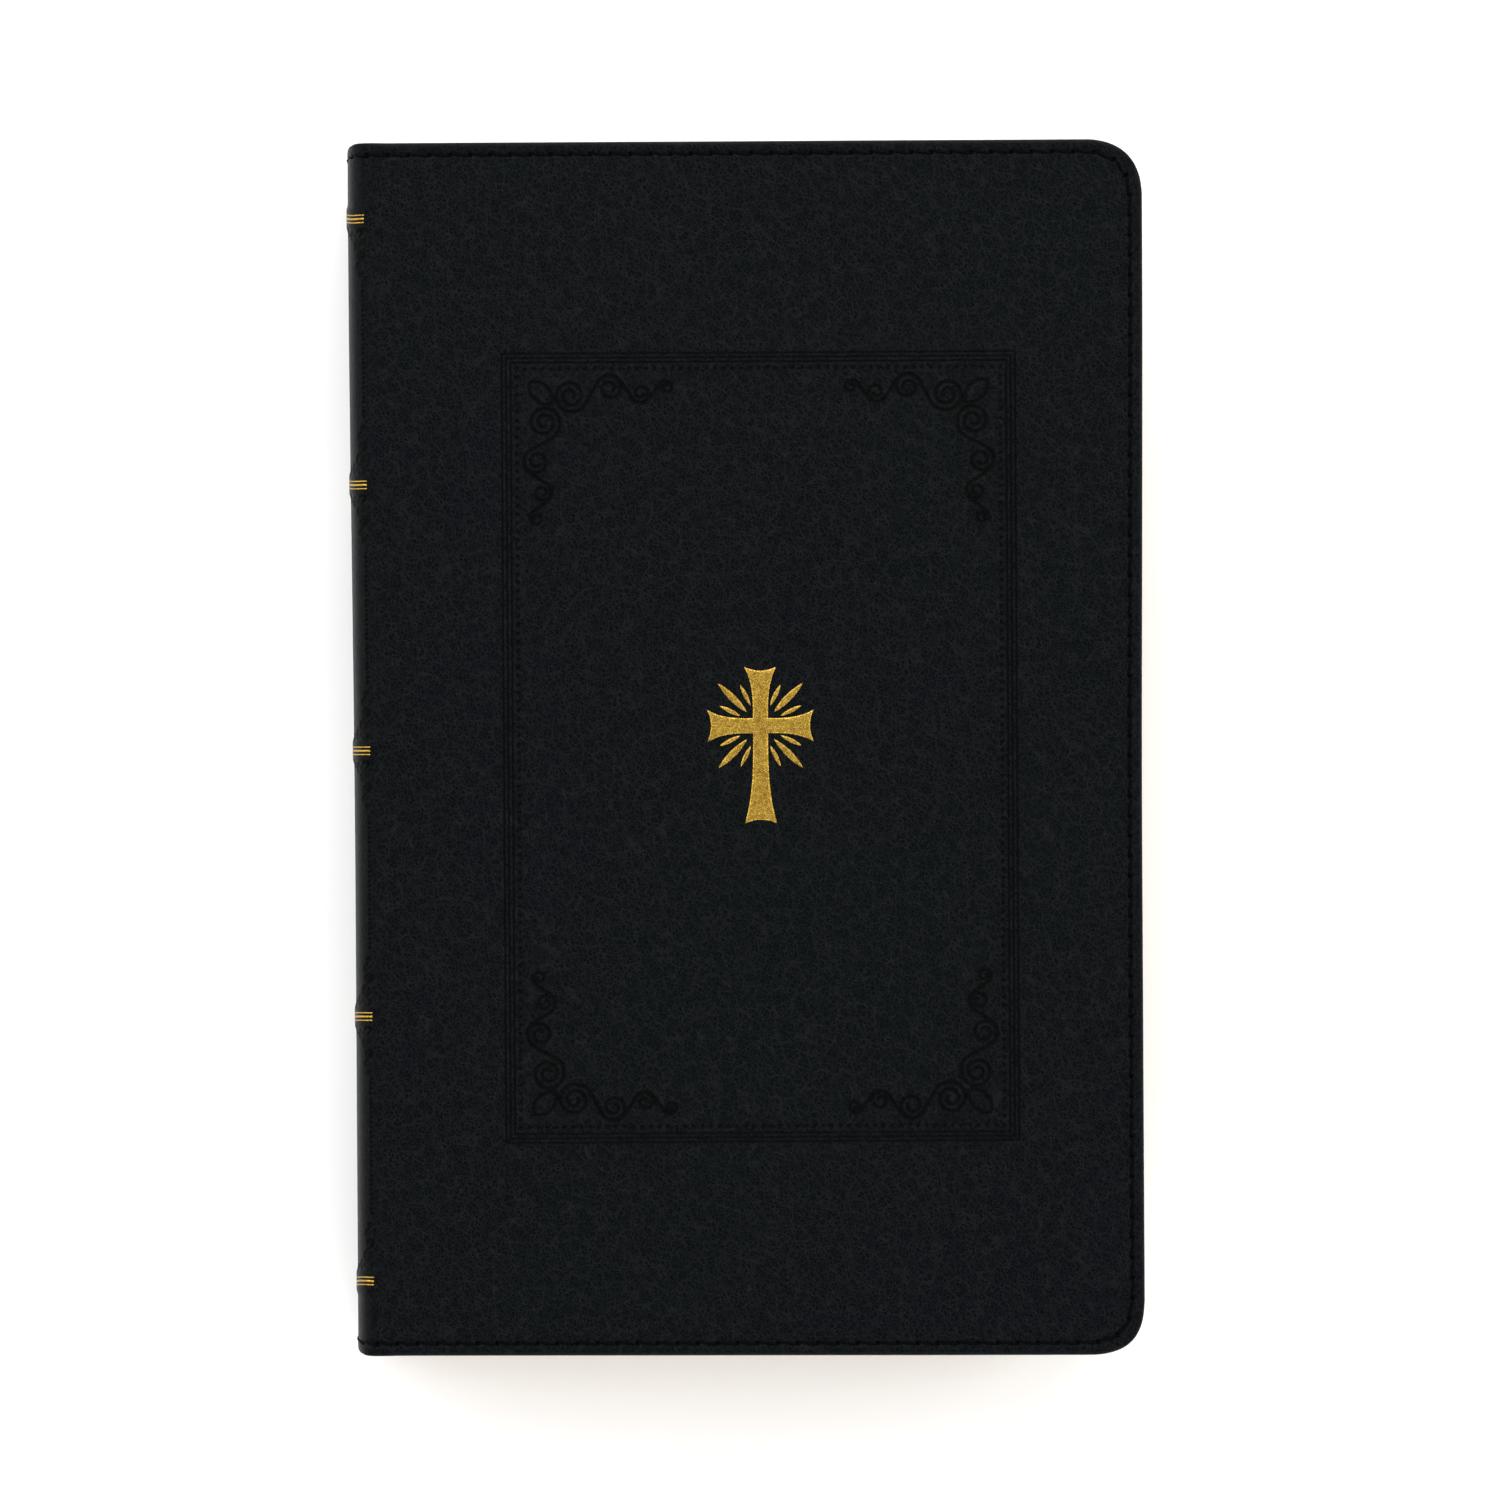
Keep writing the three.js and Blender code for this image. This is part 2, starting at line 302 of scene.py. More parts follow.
def waviness(s, y):
    """The slow unevenness of a soft front cover, away from its joint and from the gold device."""
    flat = smoothstep(SPINE_ARC + 8, SPINE_ARC + 30, s - SEAM)
    flat = flat * smoothstep(15, 32, np.hypot(s - DEVICE_S, y - DEVICE_Y))
    wave = 0.10 * np.sin(s / 17.0 + 0.6 * np.sin(y / 31.0)) * np.sin(y / 23.0 + 0.8)
    wave += 0.05 * np.sin(s / 7.3 + y / 11.0) + 0.07 * np.sin(y / 9.1 - s / 14.0 + 2.0)
    return flat * wave


def on_case(s, y, height):
    """The point of space at arc position s, height y up the book, raised by height off the leather."""
    s, y, height = np.broadcast_arrays(np.asarray(s, float), np.asarray(y, float), np.asarray(height, float))
    x = np.interp(s, PROFILE_ALONG, PROFILE_POINT[:, 0])
    z = np.interp(s, PROFILE_ALONG, PROFILE_POINT[:, 1])
    nx = np.interp(s, PROFILE_ALONG, PROFILE_NORMAL[:, 0])
    nz = np.interp(s, PROFILE_ALONG, PROFILE_NORMAL[:, 1])
    lift = height + waviness(s, y)
    skew = TAIL_SKEW * smoothstep(-70, -HALF_HEIGHT, y) * np.clip(-x / 60, -1, 1)
    over_spine = 1 - smoothstep(6, 14, np.abs(s - SEAM - SPINE_MIDDLE_U))
    turn_in = -SPINE_TURN_IN * np.sign(y) * smoothstep(HALF_HEIGHT - 7, HALF_HEIGHT, np.abs(y)) * over_spine
    fullness = smoothstep(0, 1, (x - FORE_EDGE_X + CORNER_RADIUS) / CORNER_RADIUS)
    fullness = fullness * smoothstep(0, 1, (np.abs(y) - HALF_HEIGHT + CORNER_RADIUS) / CORNER_RADIUS)
    fullness = fullness * np.where(y < 0, TAIL_FULLNESS, HEAD_FULLNESS)
    taper = HEAD_TAPER * smoothstep(-25, 95, y) * np.sign(x) * smoothstep(50, 68, np.abs(x))
    hold_out = 0.006 * y * over_spine
    x, y = x + nx * lift + fullness + taper, y + skew + turn_in + hold_out + np.sign(y) * fullness
    return np.stack([x, y, z + nz * lift], -1)


# ---------------------------------------------------------------- curves pressed into the leather
def curl(centre, radius, start, turns, inner):
    """Points of a spiral that starts on its outer radius at the angle start, in degrees, and winds in."""
    count = max(4, int(abs(turns) * 14))
    t = np.linspace(0, 1, count)
    angle = np.radians(start) + 2 * math.pi * turns * t
    r = radius * (1 - (1 - inner) * t)
    return np.stack([centre[0] + r * np.cos(angle), centre[1] + r * np.sin(angle)], 1)


def smooth_curve(points, spacing):
    """A Catmull-Rom curve through points, sampled about every spacing."""
    points = np.asarray(points, float)
    padded = np.concatenate([[2 * points[0] - points[1]], points, [2 * points[-1] - points[-2]]])
    out = []
    for i in range(1, len(padded) - 2):
        a, b, c, d = padded[i - 1:i + 3]
        count = max(2, int(np.linalg.norm(c - b) / spacing) + 1)
        t = np.linspace(0, 1, count, endpoint=False)[:, None]
        out.append(0.5 * (2 * b + (c - a) * t + (2 * a - 5 * b + 4 * c - d) * t**2
                          + (3 * b - a - 3 * c + d) * t**3))
    return np.concatenate(out + [points[-1:]])


def arm_strokes():
    """One arm of a corner scroll: spirals that shrink and turn opposite ways, each growing out of the last.
    The first coordinate runs along the arm and the second inwards."""
    strokes = []
    for k in range(len(SPIRAL_RADII) - 1):
        here, there = np.array(SPIRAL_CENTRES[k]), np.array(SPIRAL_CENTRES[k + 1])
        run = there - here
        lean = math.acos((SPIRAL_RADII[k] + SPIRAL_RADII[k + 1]) / math.hypot(*run))
        way = 1 - 2 * (k % 2)
        leave = math.degrees(math.atan2(run[1], run[0]) + way * lean)
        if k == 0:
            start = curl(here, SPIRAL_RADII[k], leave, way * 2.0, 0.2)
        else:
            start = curl(here, SPIRAL_RADII[k], leave, way * 0.32, 1.0)
        end = curl(there, SPIRAL_RADII[k + 1], leave + 180, way * (0.8 + 0.3 * SPIRAL_RADII[k + 1]), 0.3)
        strokes.append(np.array([*start[::-1], *end]))
    return strokes


def corner_strokes():
    """A corner scroll: a drop on the corner's diagonal, and two arms that mirror each other across it."""
    arm = arm_strokes()
    drop = np.array([(9.1, 9.1), (7.1, 8.9), (5.3, 7.3), (5.2, 5.2), (7.3, 5.3), (8.9, 7.1), (9.1, 9.1)])
    return arm + [stroke[:, ::-1] for stroke in arm] + [drop]


def rounded_distance(u, v, width):
    """How far a point lies inside the outline of a panel with two rounded corners at its far end."""
    du = width - u
    dv = HALF_HEIGHT - np.abs(v)
    corner = (du < CORNER_RADIUS) & (dv < CORNER_RADIUS)
    round_off = CORNER_RADIUS - np.hypot(CORNER_RADIUS - du, CORNER_RADIUS - dv)
    return np.where(corner, round_off, np.minimum(du, dv))


def stitch_holes(width, start):
    """Evenly spaced holes along a panel's edge, from the tail end of its near side round to the head end."""
    radius = CORNER_RADIUS - STITCH_INSET
    right = width - STITCH_INSET
    top = HALF_HEIGHT - STITCH_INSET
    angle = np.linspace(0, math.pi / 2, 30)
    lower = np.stack([right - radius + radius * np.sin(angle), -top + radius - radius * np.cos(angle)], 1)
    upper = lower[::-1] * (1, -1)
    path = np.concatenate([[[start, -top]], lower, upper, [[start, top]]])
    along = lengths_along(path)
    wanted = np.linspace(0, along[-1], int(round(along[-1] / STITCH_PITCH)) + 1)
    return np.stack([np.interp(wanted, along, path[:, k]) for k in (0, 1)], 1)


class Relief:
    """A raster of heights over one panel in unrolled coordinates: u from its joint, v from tail to head."""

    def __init__(self, width):
        self.width = width
        self.columns = int(round(width / BASE_CELL))
        self.rows = int(round(2 * HALF_HEIGHT / BASE_CELL)) // 2 * 2
        per_cell = int(round(BASE_CELL / PIXEL))
        self.du = width / (self.columns * per_cell)
        self.dv = 2 * HALF_HEIGHT / (self.rows * per_cell)
        self.u = np.arange(self.columns * per_cell + 1) * self.du
        self.v = np.arange(self.rows * per_cell + 1) * self.dv - HALF_HEIGHT
        self.height = np.zeros((len(self.u), len(self.v)), np.float32)
        self.marks = np.zeros_like(self.height)
        self.grid_u, self.grid_v = np.meshgrid(self.u, self.v, indexing="ij")

    def press_points(self, points, radius, soft, depth):
        """Presses a round-nosed tool along points. The deepest mark wins where marks cross."""
        reach = radius + soft
        distance = np.full(self.height.shape, 9.0, np.float32)
        for pu, pv in points:
            i0 = max(0, int((pu - reach) / self.du))
            i1 = min(len(self.u), int((pu + reach) / self.du) + 2)
            j0 = max(0, int((pv + HALF_HEIGHT - reach) / self.dv))
            j1 = min(len(self.v), int((pv + HALF_HEIGHT + reach) / self.dv) + 2)
            patch = np.hypot(self.u[i0:i1, None] - pu, self.v[None, j0:j1] - pv)
            np.minimum(distance[i0:i1, j0:j1], patch, out=distance[i0:i1, j0:j1])
        self.press(depth, 1 - smoothstep(radius - soft, radius + soft, distance))

    def press_frame(self, centre_u, centre_v, half_width, half_height):
        """Presses the three lines of a rectangle."""
        away = np.maximum(np.abs(self.grid_u - centre_u) - half_width,
                          np.abs(self.grid_v - centre_v) - half_height)
        for inset in FRAME_LINES:
            self.press(LINE_DEPTH, 1 - smoothstep(0.05, 0.05 + LINE_WIDTH, np.abs(away + inset)))

    def press(self, depth, mark):
        """Sinks a mark into the height and darkens it, partly as burnished leather over the whole mark and
        partly as painted shade, strongest on its slopes.
        """
        self.height -= depth * mark
        # Painted shade: the slopes of each mark are darkened most, its bottom less.
        np.maximum(self.marks, np.minimum(1, 0.7 * mark + 3.0 * mark * (1 - mark)), out=self.marks)

    def sample(self, raster, u, v):
        """The height or the marks, whichever raster is, between the raster's own points."""
        fu = np.clip(np.asarray(u) / self.du, 0, len(self.u) - 1.001)
        fv = np.clip((np.asarray(v) + HALF_HEIGHT) / self.dv, 0, len(self.v) - 1.001)
        i, j = fu.astype(int), fv.astype(int)
        a, b = fu - i, fv - j
        return ((raster[i, j] * (1 - a) + raster[i + 1, j] * a) * (1 - b)
                + (raster[i, j + 1] * (1 - a) + raster[i + 1, j + 1] * a) * b)


def cover_frame(relief):
    """The triple frame, its dotted inner border and its four corner scrolls."""
    relief.press_frame(FRAME_CENTRE_U, FRAME_CENTRE_Y, FRAME_HALF_WIDTH, FRAME_HALF_HEIGHT)
    dot_u, dot_v = FRAME_HALF_WIDTH - DOT_INSET, FRAME_HALF_HEIGHT - DOT_INSET
    across = int(round(2 * dot_u / DOT_PITCH))
    along = int(round(2 * dot_v / DOT_PITCH))
    dots = [(-dot_u + 2 * dot_u * k / across, side * dot_v) for k in range(across + 1) for side in (-1, 1)]
    dots += [(side * dot_u, -dot_v + 2 * dot_v * k / along) for k in range(1, along) for side in (-1, 1)]
    centre = np.array((FRAME_CENTRE_U, FRAME_CENTRE_Y))
    relief.press_points(np.array(dots) + centre, DOT_RADIUS - 0.1, TOOL_SOFTNESS, DOT_DEPTH)
    corner = np.array((FRAME_HALF_WIDTH, FRAME_HALF_HEIGHT))
    scrolls = []
    for side in ((-1, -1), (-1, 1), (1, -1), (1, 1)):
        for stroke in corner_strokes():
            line = smooth_curve(stroke, PIXEL)
            scrolls.append(centre + np.array(side) * (corner - line))
    relief.press_points(np.concatenate(scrolls), SCROLL_WIDTH - 0.05, TOOL_SOFTNESS, SCROLL_DEPTH)


def spine_relief(relief):
    """The raised bands, and the scrolls and dotted lines between them."""
    across = np.abs(relief.grid_u - SPINE_MIDDLE_U)
    band_end = u_from_crest(BAND_PLAN) - SPINE_MIDDLE_U
    fade = 1 - smoothstep(band_end - 0.6, band_end + 0.8, across)
    for band in range(-2, 3):
        away = np.abs(relief.grid_v - band * BAND_PITCH)
        rise = 1 - smoothstep(BAND_HALF_WIDTH - BAND_SHOULDER, BAND_HALF_WIDTH + 0.5, away)
        relief.height += BAND_RISE * rise * fade
    valley = (relief.grid_u - SPINE_ARC + 1.2) / 0.9
    relief.height -= JOINT_VALLEY * np.exp(-valley**2)
    column = u_from_crest(SPINE_DOT_PLAN) - SPINE_MIDDLE_U
    scroll_line = u_from_crest(SPINE_SCROLL_PLAN) - SPINE_MIDDLE_U + 7 * SPINE_SCROLL_SCALE
    dots, scrolls = [], []
    half_panel = BAND_PITCH / 2
    scroll_start = 2.0 - 5 * SPINE_SCROLL_SCALE
    for panel in (-1.5, -0.5, 0.5, 1.5):
        middle_v = panel * BAND_PITCH
        dot_reach = half_panel - 12.2
        count = int(2 * dot_reach / SPINE_DOT_PITCH)
        for side_u in (-1, 1):
            for k in range(count + 1):
                dot_v = middle_v - dot_reach + 2 * dot_reach * k / count
                dots.append((SPINE_MIDDLE_U + side_u * column, dot_v))
            for side_v in (-1, 1):
                for stroke in corner_strokes():
                    line = smooth_curve(stroke, PIXEL) * SPINE_SCROLL_SCALE
                    scrolls.append(np.stack([
                        SPINE_MIDDLE_U + side_u * (scroll_line - line[:, 0]),
                        middle_v + side_v * (half_panel - scroll_start - line[:, 1]),
                    ], 1))
    relief.press_points(dots, SPINE_DOT_RADIUS, soft=0.1, depth=0.15)
    relief.press_points(np.concatenate(scrolls), radius=0.2, soft=0.1, depth=0.14)
    # Painted shade over the whole spine: its leather is darkened a little, fading out at the front joint.
    spine_shade = 1 - smoothstep(SPINE_ARC - 2, SPINE_ARC + 1, relief.grid_u)
    np.maximum(relief.marks, 0.2 * spine_shade, out=relief.marks)


def edge_radius(u, joint):
    """The rounding of the edge, small where the leather is single and full past the joint."""
    return SPINE_EDGE_RADIUS + (COVER_EDGE_RADIUS - SPINE_EDGE_RADIUS) * smoothstep(*joint, u)


def edge_depth(u, joint):
    """How far the edge reaches down: the leather alone on the spine, the whole cover past the joint."""
    return LEATHER + (COVER_DEPTH - LEATHER) * smoothstep(*joint, u)


def edge_relief(relief, holes, joint):
    """The rounded edge, the shallow channel that the stitches lie in and the puckers at their holes."""
    inside = rounded_distance(relief.grid_u, relief.grid_v, relief.width)
    radius = edge_radius(relief.grid_u, joint)
    depth = np.clip(radius - inside, 0, radius)
    relief.height -= radius - np.sqrt(np.maximum(radius**2 - depth**2, 0))
    channel = np.abs(inside - STITCH_INSET)
    relief.height -= 0.10 * (1 - smoothstep(0.1, 0.75, channel))
    relief.height += 0.05 * (1 - smoothstep(0.0, 1.1, np.abs(inside - 1.15)))
    relief.press_points(holes, radius=0.36, soft=0.24, depth=0.34)
    # Painted shade in the stitch holes: a spot round each hole is darkened nearly to black.
    hole_shade = Relief(relief.width)
    hole_shade.press_points(holes, radius=0.46, soft=0.16, depth=0.0)
    np.maximum(relief.marks, np.minimum(1, 2.9 * hole_shade.marks), out=relief.marks)


# ---------------------------------------------------------------- adaptive sheets
def round_corners(u, v, right, half_height, radius):
    """Moves the points of a rectangle's two right-hand corner squares onto quarter discs."""
    u, v = np.array(u, float), np.array(v, float)
    a = (u - (right - radius)) / radius
    b = (np.abs(v) - (half_height - radius)) / radius
    near = (a > 0) & (b > 0)
    a, b = np.where(near, a, 0), np.where(near, b, 0)
    new_u = right - radius + radius * a * np.sqrt(1 - b * b / 2)
    new_v = np.sign(v) * (half_height - radius + radius * b * np.sqrt(1 - a * a / 2))
    return np.where(near, new_u, u), np.where(near, new_v, v)


def block_range(values, size):
    """Highest minus lowest value in each size x size block, its far edges included."""
    count_i, count_j = (values.shape[0] - 1) // size, (values.shape[1] - 1) // size
    top = np.full((count_i, count_j), -1e9, np.float32)
    low = np.full((count_i, count_j), 1e9, np.float32)
    for a in range(size + 1):
        for b in range(size + 1):
            part = values[a:a + count_i * size:size, b:b + count_j * size:size][:count_i, :count_j]
            np.maximum(top, part, out=top)
            np.minimum(low, part, out=low)
    return top - low


def split_cells(relief, tolerance):
    """Which cells of each level are split, with neighbours never more than one level apart."""
    u, v = round_corners(relief.grid_u, relief.grid_v, relief.width, HALF_HEIGHT, CORNER_RADIUS)
    surface = relief.sample(relief.height, u, v).astype(np.float32)
    per_cell = int(round(BASE_CELL / PIXEL))
    split = []
    for level in range(LEVELS):
        rough = block_range(surface, per_cell >> level) > tolerance * (1 if level < LEVELS - 1 else 1.8)
        split.append(rough | rough[:, ::-1])
    for level in range(LEVELS - 2, -1, -1):
        finer = np.pad(split[level + 1], 1)
        grown = np.zeros_like(split[level + 1])
        for a in (0, 1, 2):
            for b in (0, 1, 2):
                grown |= finer[a:a + grown.shape[0], b:b + grown.shape[1]]
        shape = split[level].shape
        split[level] |= grown.reshape(shape[0], 2, shape[1], 2).any((1, 3))
    return split


def adaptive_sheet(relief, tolerance):
    """Lattice corners and faces of a sheet that is fine only where its relief is."""
    split = split_cells(relief, tolerance)
    fine = 1 << LEVELS
    index = np.full((relief.columns * fine + 1, relief.rows * fine + 1), -1, np.int64)
    exists = np.ones((relief.columns, relief.rows), bool)
    cells = []
    for level in range(LEVELS + 1):
        here = split[level] if level < LEVELS else np.zeros_like(exists)
        leaf = exists & ~here
        i, j = np.nonzero(leaf)
        padded = np.pad(here & exists, 1)
        sides = np.stack([padded[i + 1 + a, j + 1 + b] for a, b in ((0, -1), (1, 0), (0, 1), (-1, 0))], 1)
        cells.append((i, j, fine >> level, sides))
        if level < LEVELS:
            exists = np.repeat(np.repeat(exists & here, 2, 0), 2, 1)
    faces, lattice, count = [], [], 0

    def vertex(i, j):
        nonlocal count
        fresh = index[i, j] < 0
        pairs = np.unique(np.stack([i[fresh], j[fresh]], 1), axis=0)
        index[pairs[:, 0], pairs[:, 1]] = count + np.arange(len(pairs))
        count += len(pairs)
        lattice.append(pairs)
        return index[i, j]

    for i, j, step, sides in cells:
        if len(i) == 0:
            continue
        a, b = i * step, j * step
        corners = [vertex(a, b), vertex(a + step, b), vertex(a + step, b + step), vertex(a, b + step)]
        plain = ~sides.any(1)
        faces += np.stack([c[plain] for c in corners], 1).tolist()
        if plain.all():
            continue
        half = step // 2
        middles = [(a + half, b), (a + step, b + half), (a + half, b + step), (a, b + half)]
        for mask in range(1, 16):
            chosen = np.array([bool(mask >> k & 1) for k in range(4)])
            pick = (sides == chosen).all(1)
            if not pick.any():
                continue
            centre = vertex(a[pick] + half, b[pick] + half)
            ring = []
            for k in range(4):
                ring.append(corners[k][pick])
                if chosen[k]:
                    ring.append(vertex(middles[k][0][pick], middles[k][1][pick]))
            for k in range(len(ring)):
                faces += np.stack([centre, ring[k], ring[(k + 1) % len(ring)]], 1).tolist()
    lattice = np.concatenate(lattice)
    top_i, top_j = relief.columns * fine, relief.rows * fine
    u = lattice[:, 0] * relief.width / top_i
    v = lattice[:, 1] * 2 * HALF_HEIGHT / top_j - HALF_HEIGHT

    def border(i, j):
        return index[i, j][index[i, j] >= 0]

    all_i, all_j = np.arange(top_i + 1), np.arange(top_j + 1)
    edges = {
        "tail": border(all_i, np.zeros_like(all_i)),
        "fore": border(np.full_like(all_j, top_i), all_j),
        "head": border(all_i, np.full_like(all_i, top_j)),
        "near": border(np.zeros_like(all_j), all_j),
    }
    return u, v, faces, edges


def case_panel(name, relief, to_s, joint):
    """A closed solid of leather: the relief on top, a turned-in rim on three sides and a plain back."""
    u, v, faces, edges = adaptive_sheet(relief, MESH_TOLERANCE)
    u, v = round_corners(u, v, relief.width, HALF_HEIGHT, CORNER_RADIUS)
    height = relief.sample(relief.height, u, v)
    points = [on_case(to_s(u), v, height)]
    flat = [np.stack([to_s(u), v], 1)]
    loop = np.concatenate([edges["tail"], edges["fore"][1:-1], edges["head"][::-1]])
    loop_u, loop_v = u[loop], v[loop]
    radius, depth = edge_radius(loop_u, joint), edge_depth(loop_u, joint)
    centre_u = np.minimum(loop_u, relief.width - CORNER_RADIUS)
    centre_v = np.clip(loop_v, -(HALF_HEIGHT - CORNER_RADIUS), HALF_HEIGHT - CORNER_RADIUS)
    inward = np.stack([centre_u - loop_u, centre_v - loop_v], 1)
    inward /= np.linalg.norm(inward, axis=1)[:, None]
    rim = LEATHER + 0.05
    rings = [
        (0 * radius, depth - radius),
        (0.1 * radius, depth - 0.45 * radius),
        (0.4 * radius, depth - 0.1 * radius),
        (radius, depth),
        (0 * radius + rim, depth),
        (0 * radius + rim + 0.03, 0 * depth + LEATHER - 0.02),
    ]
    count = len(loop)
    previous = loop
    total_vertices = len(u)
    for inset, down in rings:
        ring_u, ring_v = loop_u + inward[:, 0] * inset, loop_v + inward[:, 1] * inset
        points.append(on_case(to_s(ring_u), ring_v, -down))
        reach = (inset + down)[:, None]
        flat.append(np.stack([to_s(loop_u), loop_v], 1) - inward * reach)
        ring = total_vertices + np.arange(count)
        faces += np.stack([previous[:-1], ring[:-1], ring[1:], previous[1:]], 1).tolist()
        total_vertices += count
        previous = ring
    tails = len(edges["tail"])
    tail, head = previous[:tails], previous[::-1][:tails]
    faces += np.stack([tail[:-1], head[:-1], head[1:], tail[1:]], 1).tolist()
    faces.append(previous[tails - 1:count - tails + 1].tolist())
    ends = [len(u) + k * count for k in range(len(rings))]
    near = edges["near"].tolist()
    faces.append(near + [e + count - 1 for e in ends] + ends[::-1])
    points, flat = np.concatenate(points), np.concatenate(flat)
    # The darkening passed to the material: burnished tooling marks, and painted shade on their slopes, in the
    # stitch holes and over the spine.
    tooling_and_shade = np.zeros(len(points))
    tooling_and_shade[:len(u)] = relief.sample(relief.marks, u, v)
    obj = new_object(name, points, faces, [LEATHER_SKIN], uv=flat)
    values = obj.data.attributes.new("tooling_and_shade", "FLOAT", "POINT").data
    values.foreach_set("value", tooling_and_shade.astype(np.float32))
    face_outwards(obj)
    return obj


# ---------------------------------------------------------------- stitches
def stitch_row(holes, to_s, sunk, crown):
    """One short thread from each hole to the next, arched out of the channel."""
    parts = []
    t = np.linspace(0, 1, len(STITCH_ARCH))
    height = sunk + (crown - sunk) * STITCH_ARCH
    thick = STITCH_RADIUS * (0.72 + 0.28 * np.sin(math.pi * t) ** 0.5)
    slant = 0.5 * (0.5 - t)
    for (u0, v0), (u1, v1) in zip(holes[:-1], holes[1:]):
        away_u, away_v = (v0 - v1) / STITCH_PITCH, (u1 - u0) / STITCH_PITCH
        u, v = u0 + (u1 - u0) * t + away_u * slant, v0 + (v1 - v0) * t + away_v * slant
        centres = on_case(to_s(u), v, height)
        up = on_case(to_s(u), v, height + 1) - centres
        parts.append(tube(centres, thick, STITCH_SIDES, up))
    return merge(parts)


def inner_stitch_row(face_z, out):
    """The same stitches seen on the lining. out is the way that they face, 1 or -1."""
    holes = stitch_holes(PANEL_WIDTH, STITCH_START)
    t = np.linspace(0, 1, len(STITCH_ARCH))
    up = np.tile((0, 0, float(out)), (len(t), 1))
    parts = []
    for (u0, v0), (u1, v1) in zip(holes[:-1], holes[1:]):
        height = face_z + out * (-0.22 + 0.2 * STITCH_ARCH)
        centres = np.stack([JOINT_X + u0 + (u1 - u0) * t, v0 + (v1 - v0) * t, height], 1)
        parts.append(tube(centres, 0.2 * (0.7 + 0.3 * STITCH_ARCH), STITCH_SIDES, up))
    return merge(parts)


# ---------------------------------------------------------------- materials
def node_material(name):
    material = bpy.data.materials.new(name)
    material.use_nodes = True
    tree = material.node_tree
    return material, tree, tree.nodes["Principled BSDF"]


def add_node(tree, kind, vector=None, **settings):
    """A node with its sockets and properties set by name, fed by a coordinate where one is given."""
    node = tree.nodes.new(kind)
    for key, value in settings.items():
        if key in node.inputs:
            node.inputs[key].default_value = value
        else:
            setattr(node, key, value)
    if vector is not None:
        tree.links.new(vector, node.inputs["Vector"])
    return node


def put(tree, value, socket):
    """Sets a socket to a number or a colour, or links another node's output to it."""
    if isinstance(value, (int, float)):
        socket.default_value = value
    elif isinstance(value, tuple):
        socket.default_value = (*value, 1)
    else:
        tree.links.new(value, socket)


def dress(tree, shader, colour, roughness, specular=0.5, metallic=0.0):
    """Sets what a surface looks like. The specular level and the metal are plain numbers."""
    put(tree, colour, shader.inputs["Base Color"])
    put(tree, roughness, shader.inputs["Roughness"])
    shader.inputs["Specular IOR Level"].default_value = specular
    shader.inputs["Metallic"].default_value = metallic


def in_millimetres(tree, source, scale=(1, 1, 1)):
    """A coordinate in millimetres, stretched by scale."""
    return add_node(tree, "ShaderNodeMapping", source, Scale=[k / MM for k in scale]).outputs["Vector"]


def unrolled(tree):
    return in_millimetres(tree, add_node(tree, "ShaderNodeUVMap", uv_map="unrolled").outputs["UV"])


def in_space(tree, scale=(1, 1, 1)):
    return in_millimetres(tree, add_node(tree, "ShaderNodeTexCoord").outputs["Object"], scale)


def noise(tree, vector, scale, detail, roughness=0.5):
    node = add_node(tree, "ShaderNodeTexNoise", vector, Scale=scale, Detail=detail, Roughness=roughness)
    return node.outputs["Fac"]


def bands(tree, vector, direction, scale, distortion):
    node = add_node(tree, "ShaderNodeTexWave", vector, wave_type="BANDS", bands_direction=direction,
                    Scale=scale, Distortion=distortion)
    return node.outputs["Fac"]


def cell_edges(tree, vector, scale):
    """The distance to the nearest edge of a net of random cells."""
    node = add_node(tree, "ShaderNodeTexVoronoi", vector, feature="DISTANCE_TO_EDGE", Scale=scale)
    return node.outputs["Distance"]


def ramp(tree, value, stops):
    """A ramp through (position, grey) stops."""
    node = add_node(tree, "ShaderNodeValToRGB")
    elements = node.color_ramp.elements
    while len(elements) < len(stops):
        elements.new(0.5)
    for element, (position, grey) in zip(elements, stops):
        element.position = position
        element.color = (grey, grey, grey, 1)
    tree.links.new(value, node.inputs["Fac"])
    return node.outputs["Color"]


def maths(tree, operation, *values):
    node = add_node(tree, "ShaderNodeMath", operation=operation)
    for socket, value in zip(node.inputs, values):
        put(tree, value, socket)
    return node.outputs[0]


def mix_colour(tree, factor, first, second):
    node = add_node(tree, "ShaderNodeMix", data_type="RGBA")
    for name, value in (("Factor_Float", factor), ("A_Color", first), ("B_Color", second)):
        put(tree, value, next(s for s in node.inputs if s.identifier == name))
    return next(s for s in node.outputs if s.identifier == "Result_Color")


def bump(tree, shader, height, distance):
    node = add_node(tree, "ShaderNodeBump", Strength=1.0, Distance=distance * MM)
    tree.links.new(height, node.inputs["Height"])
    tree.links.new(node.outputs["Normal"], shader.inputs["Normal"])


def vector_maths(tree, operation, first, second):
    """One step of vector maths, whose second value is a number for SCALE, a plain vector or an output."""
    node = add_node(tree, "ShaderNodeVectorMath", operation=operation)
    tree.links.new(first, node.inputs[0])
    if operation == "SCALE":
        node.inputs["Scale"].default_value = second
    elif isinstance(second, tuple):
        node.inputs[1].default_value = second
    else:
        tree.links.new(second, node.inputs[1])
    return node.outputs[0]


def warp(tree, vector, scale, amount):
    """Shifts a coordinate by noise, so that what is drawn with it wanders."""
    cloud = add_node(tree, "ShaderNodeTexNoise", vector, Scale=scale, Detail=2).outputs["Color"]
    centred = vector_maths(tree, "SUBTRACT", cloud, (0.5, 0.5, 0.5))
    return vector_maths(tree, "ADD", vector, vector_maths(tree, "SCALE", centred, amount))


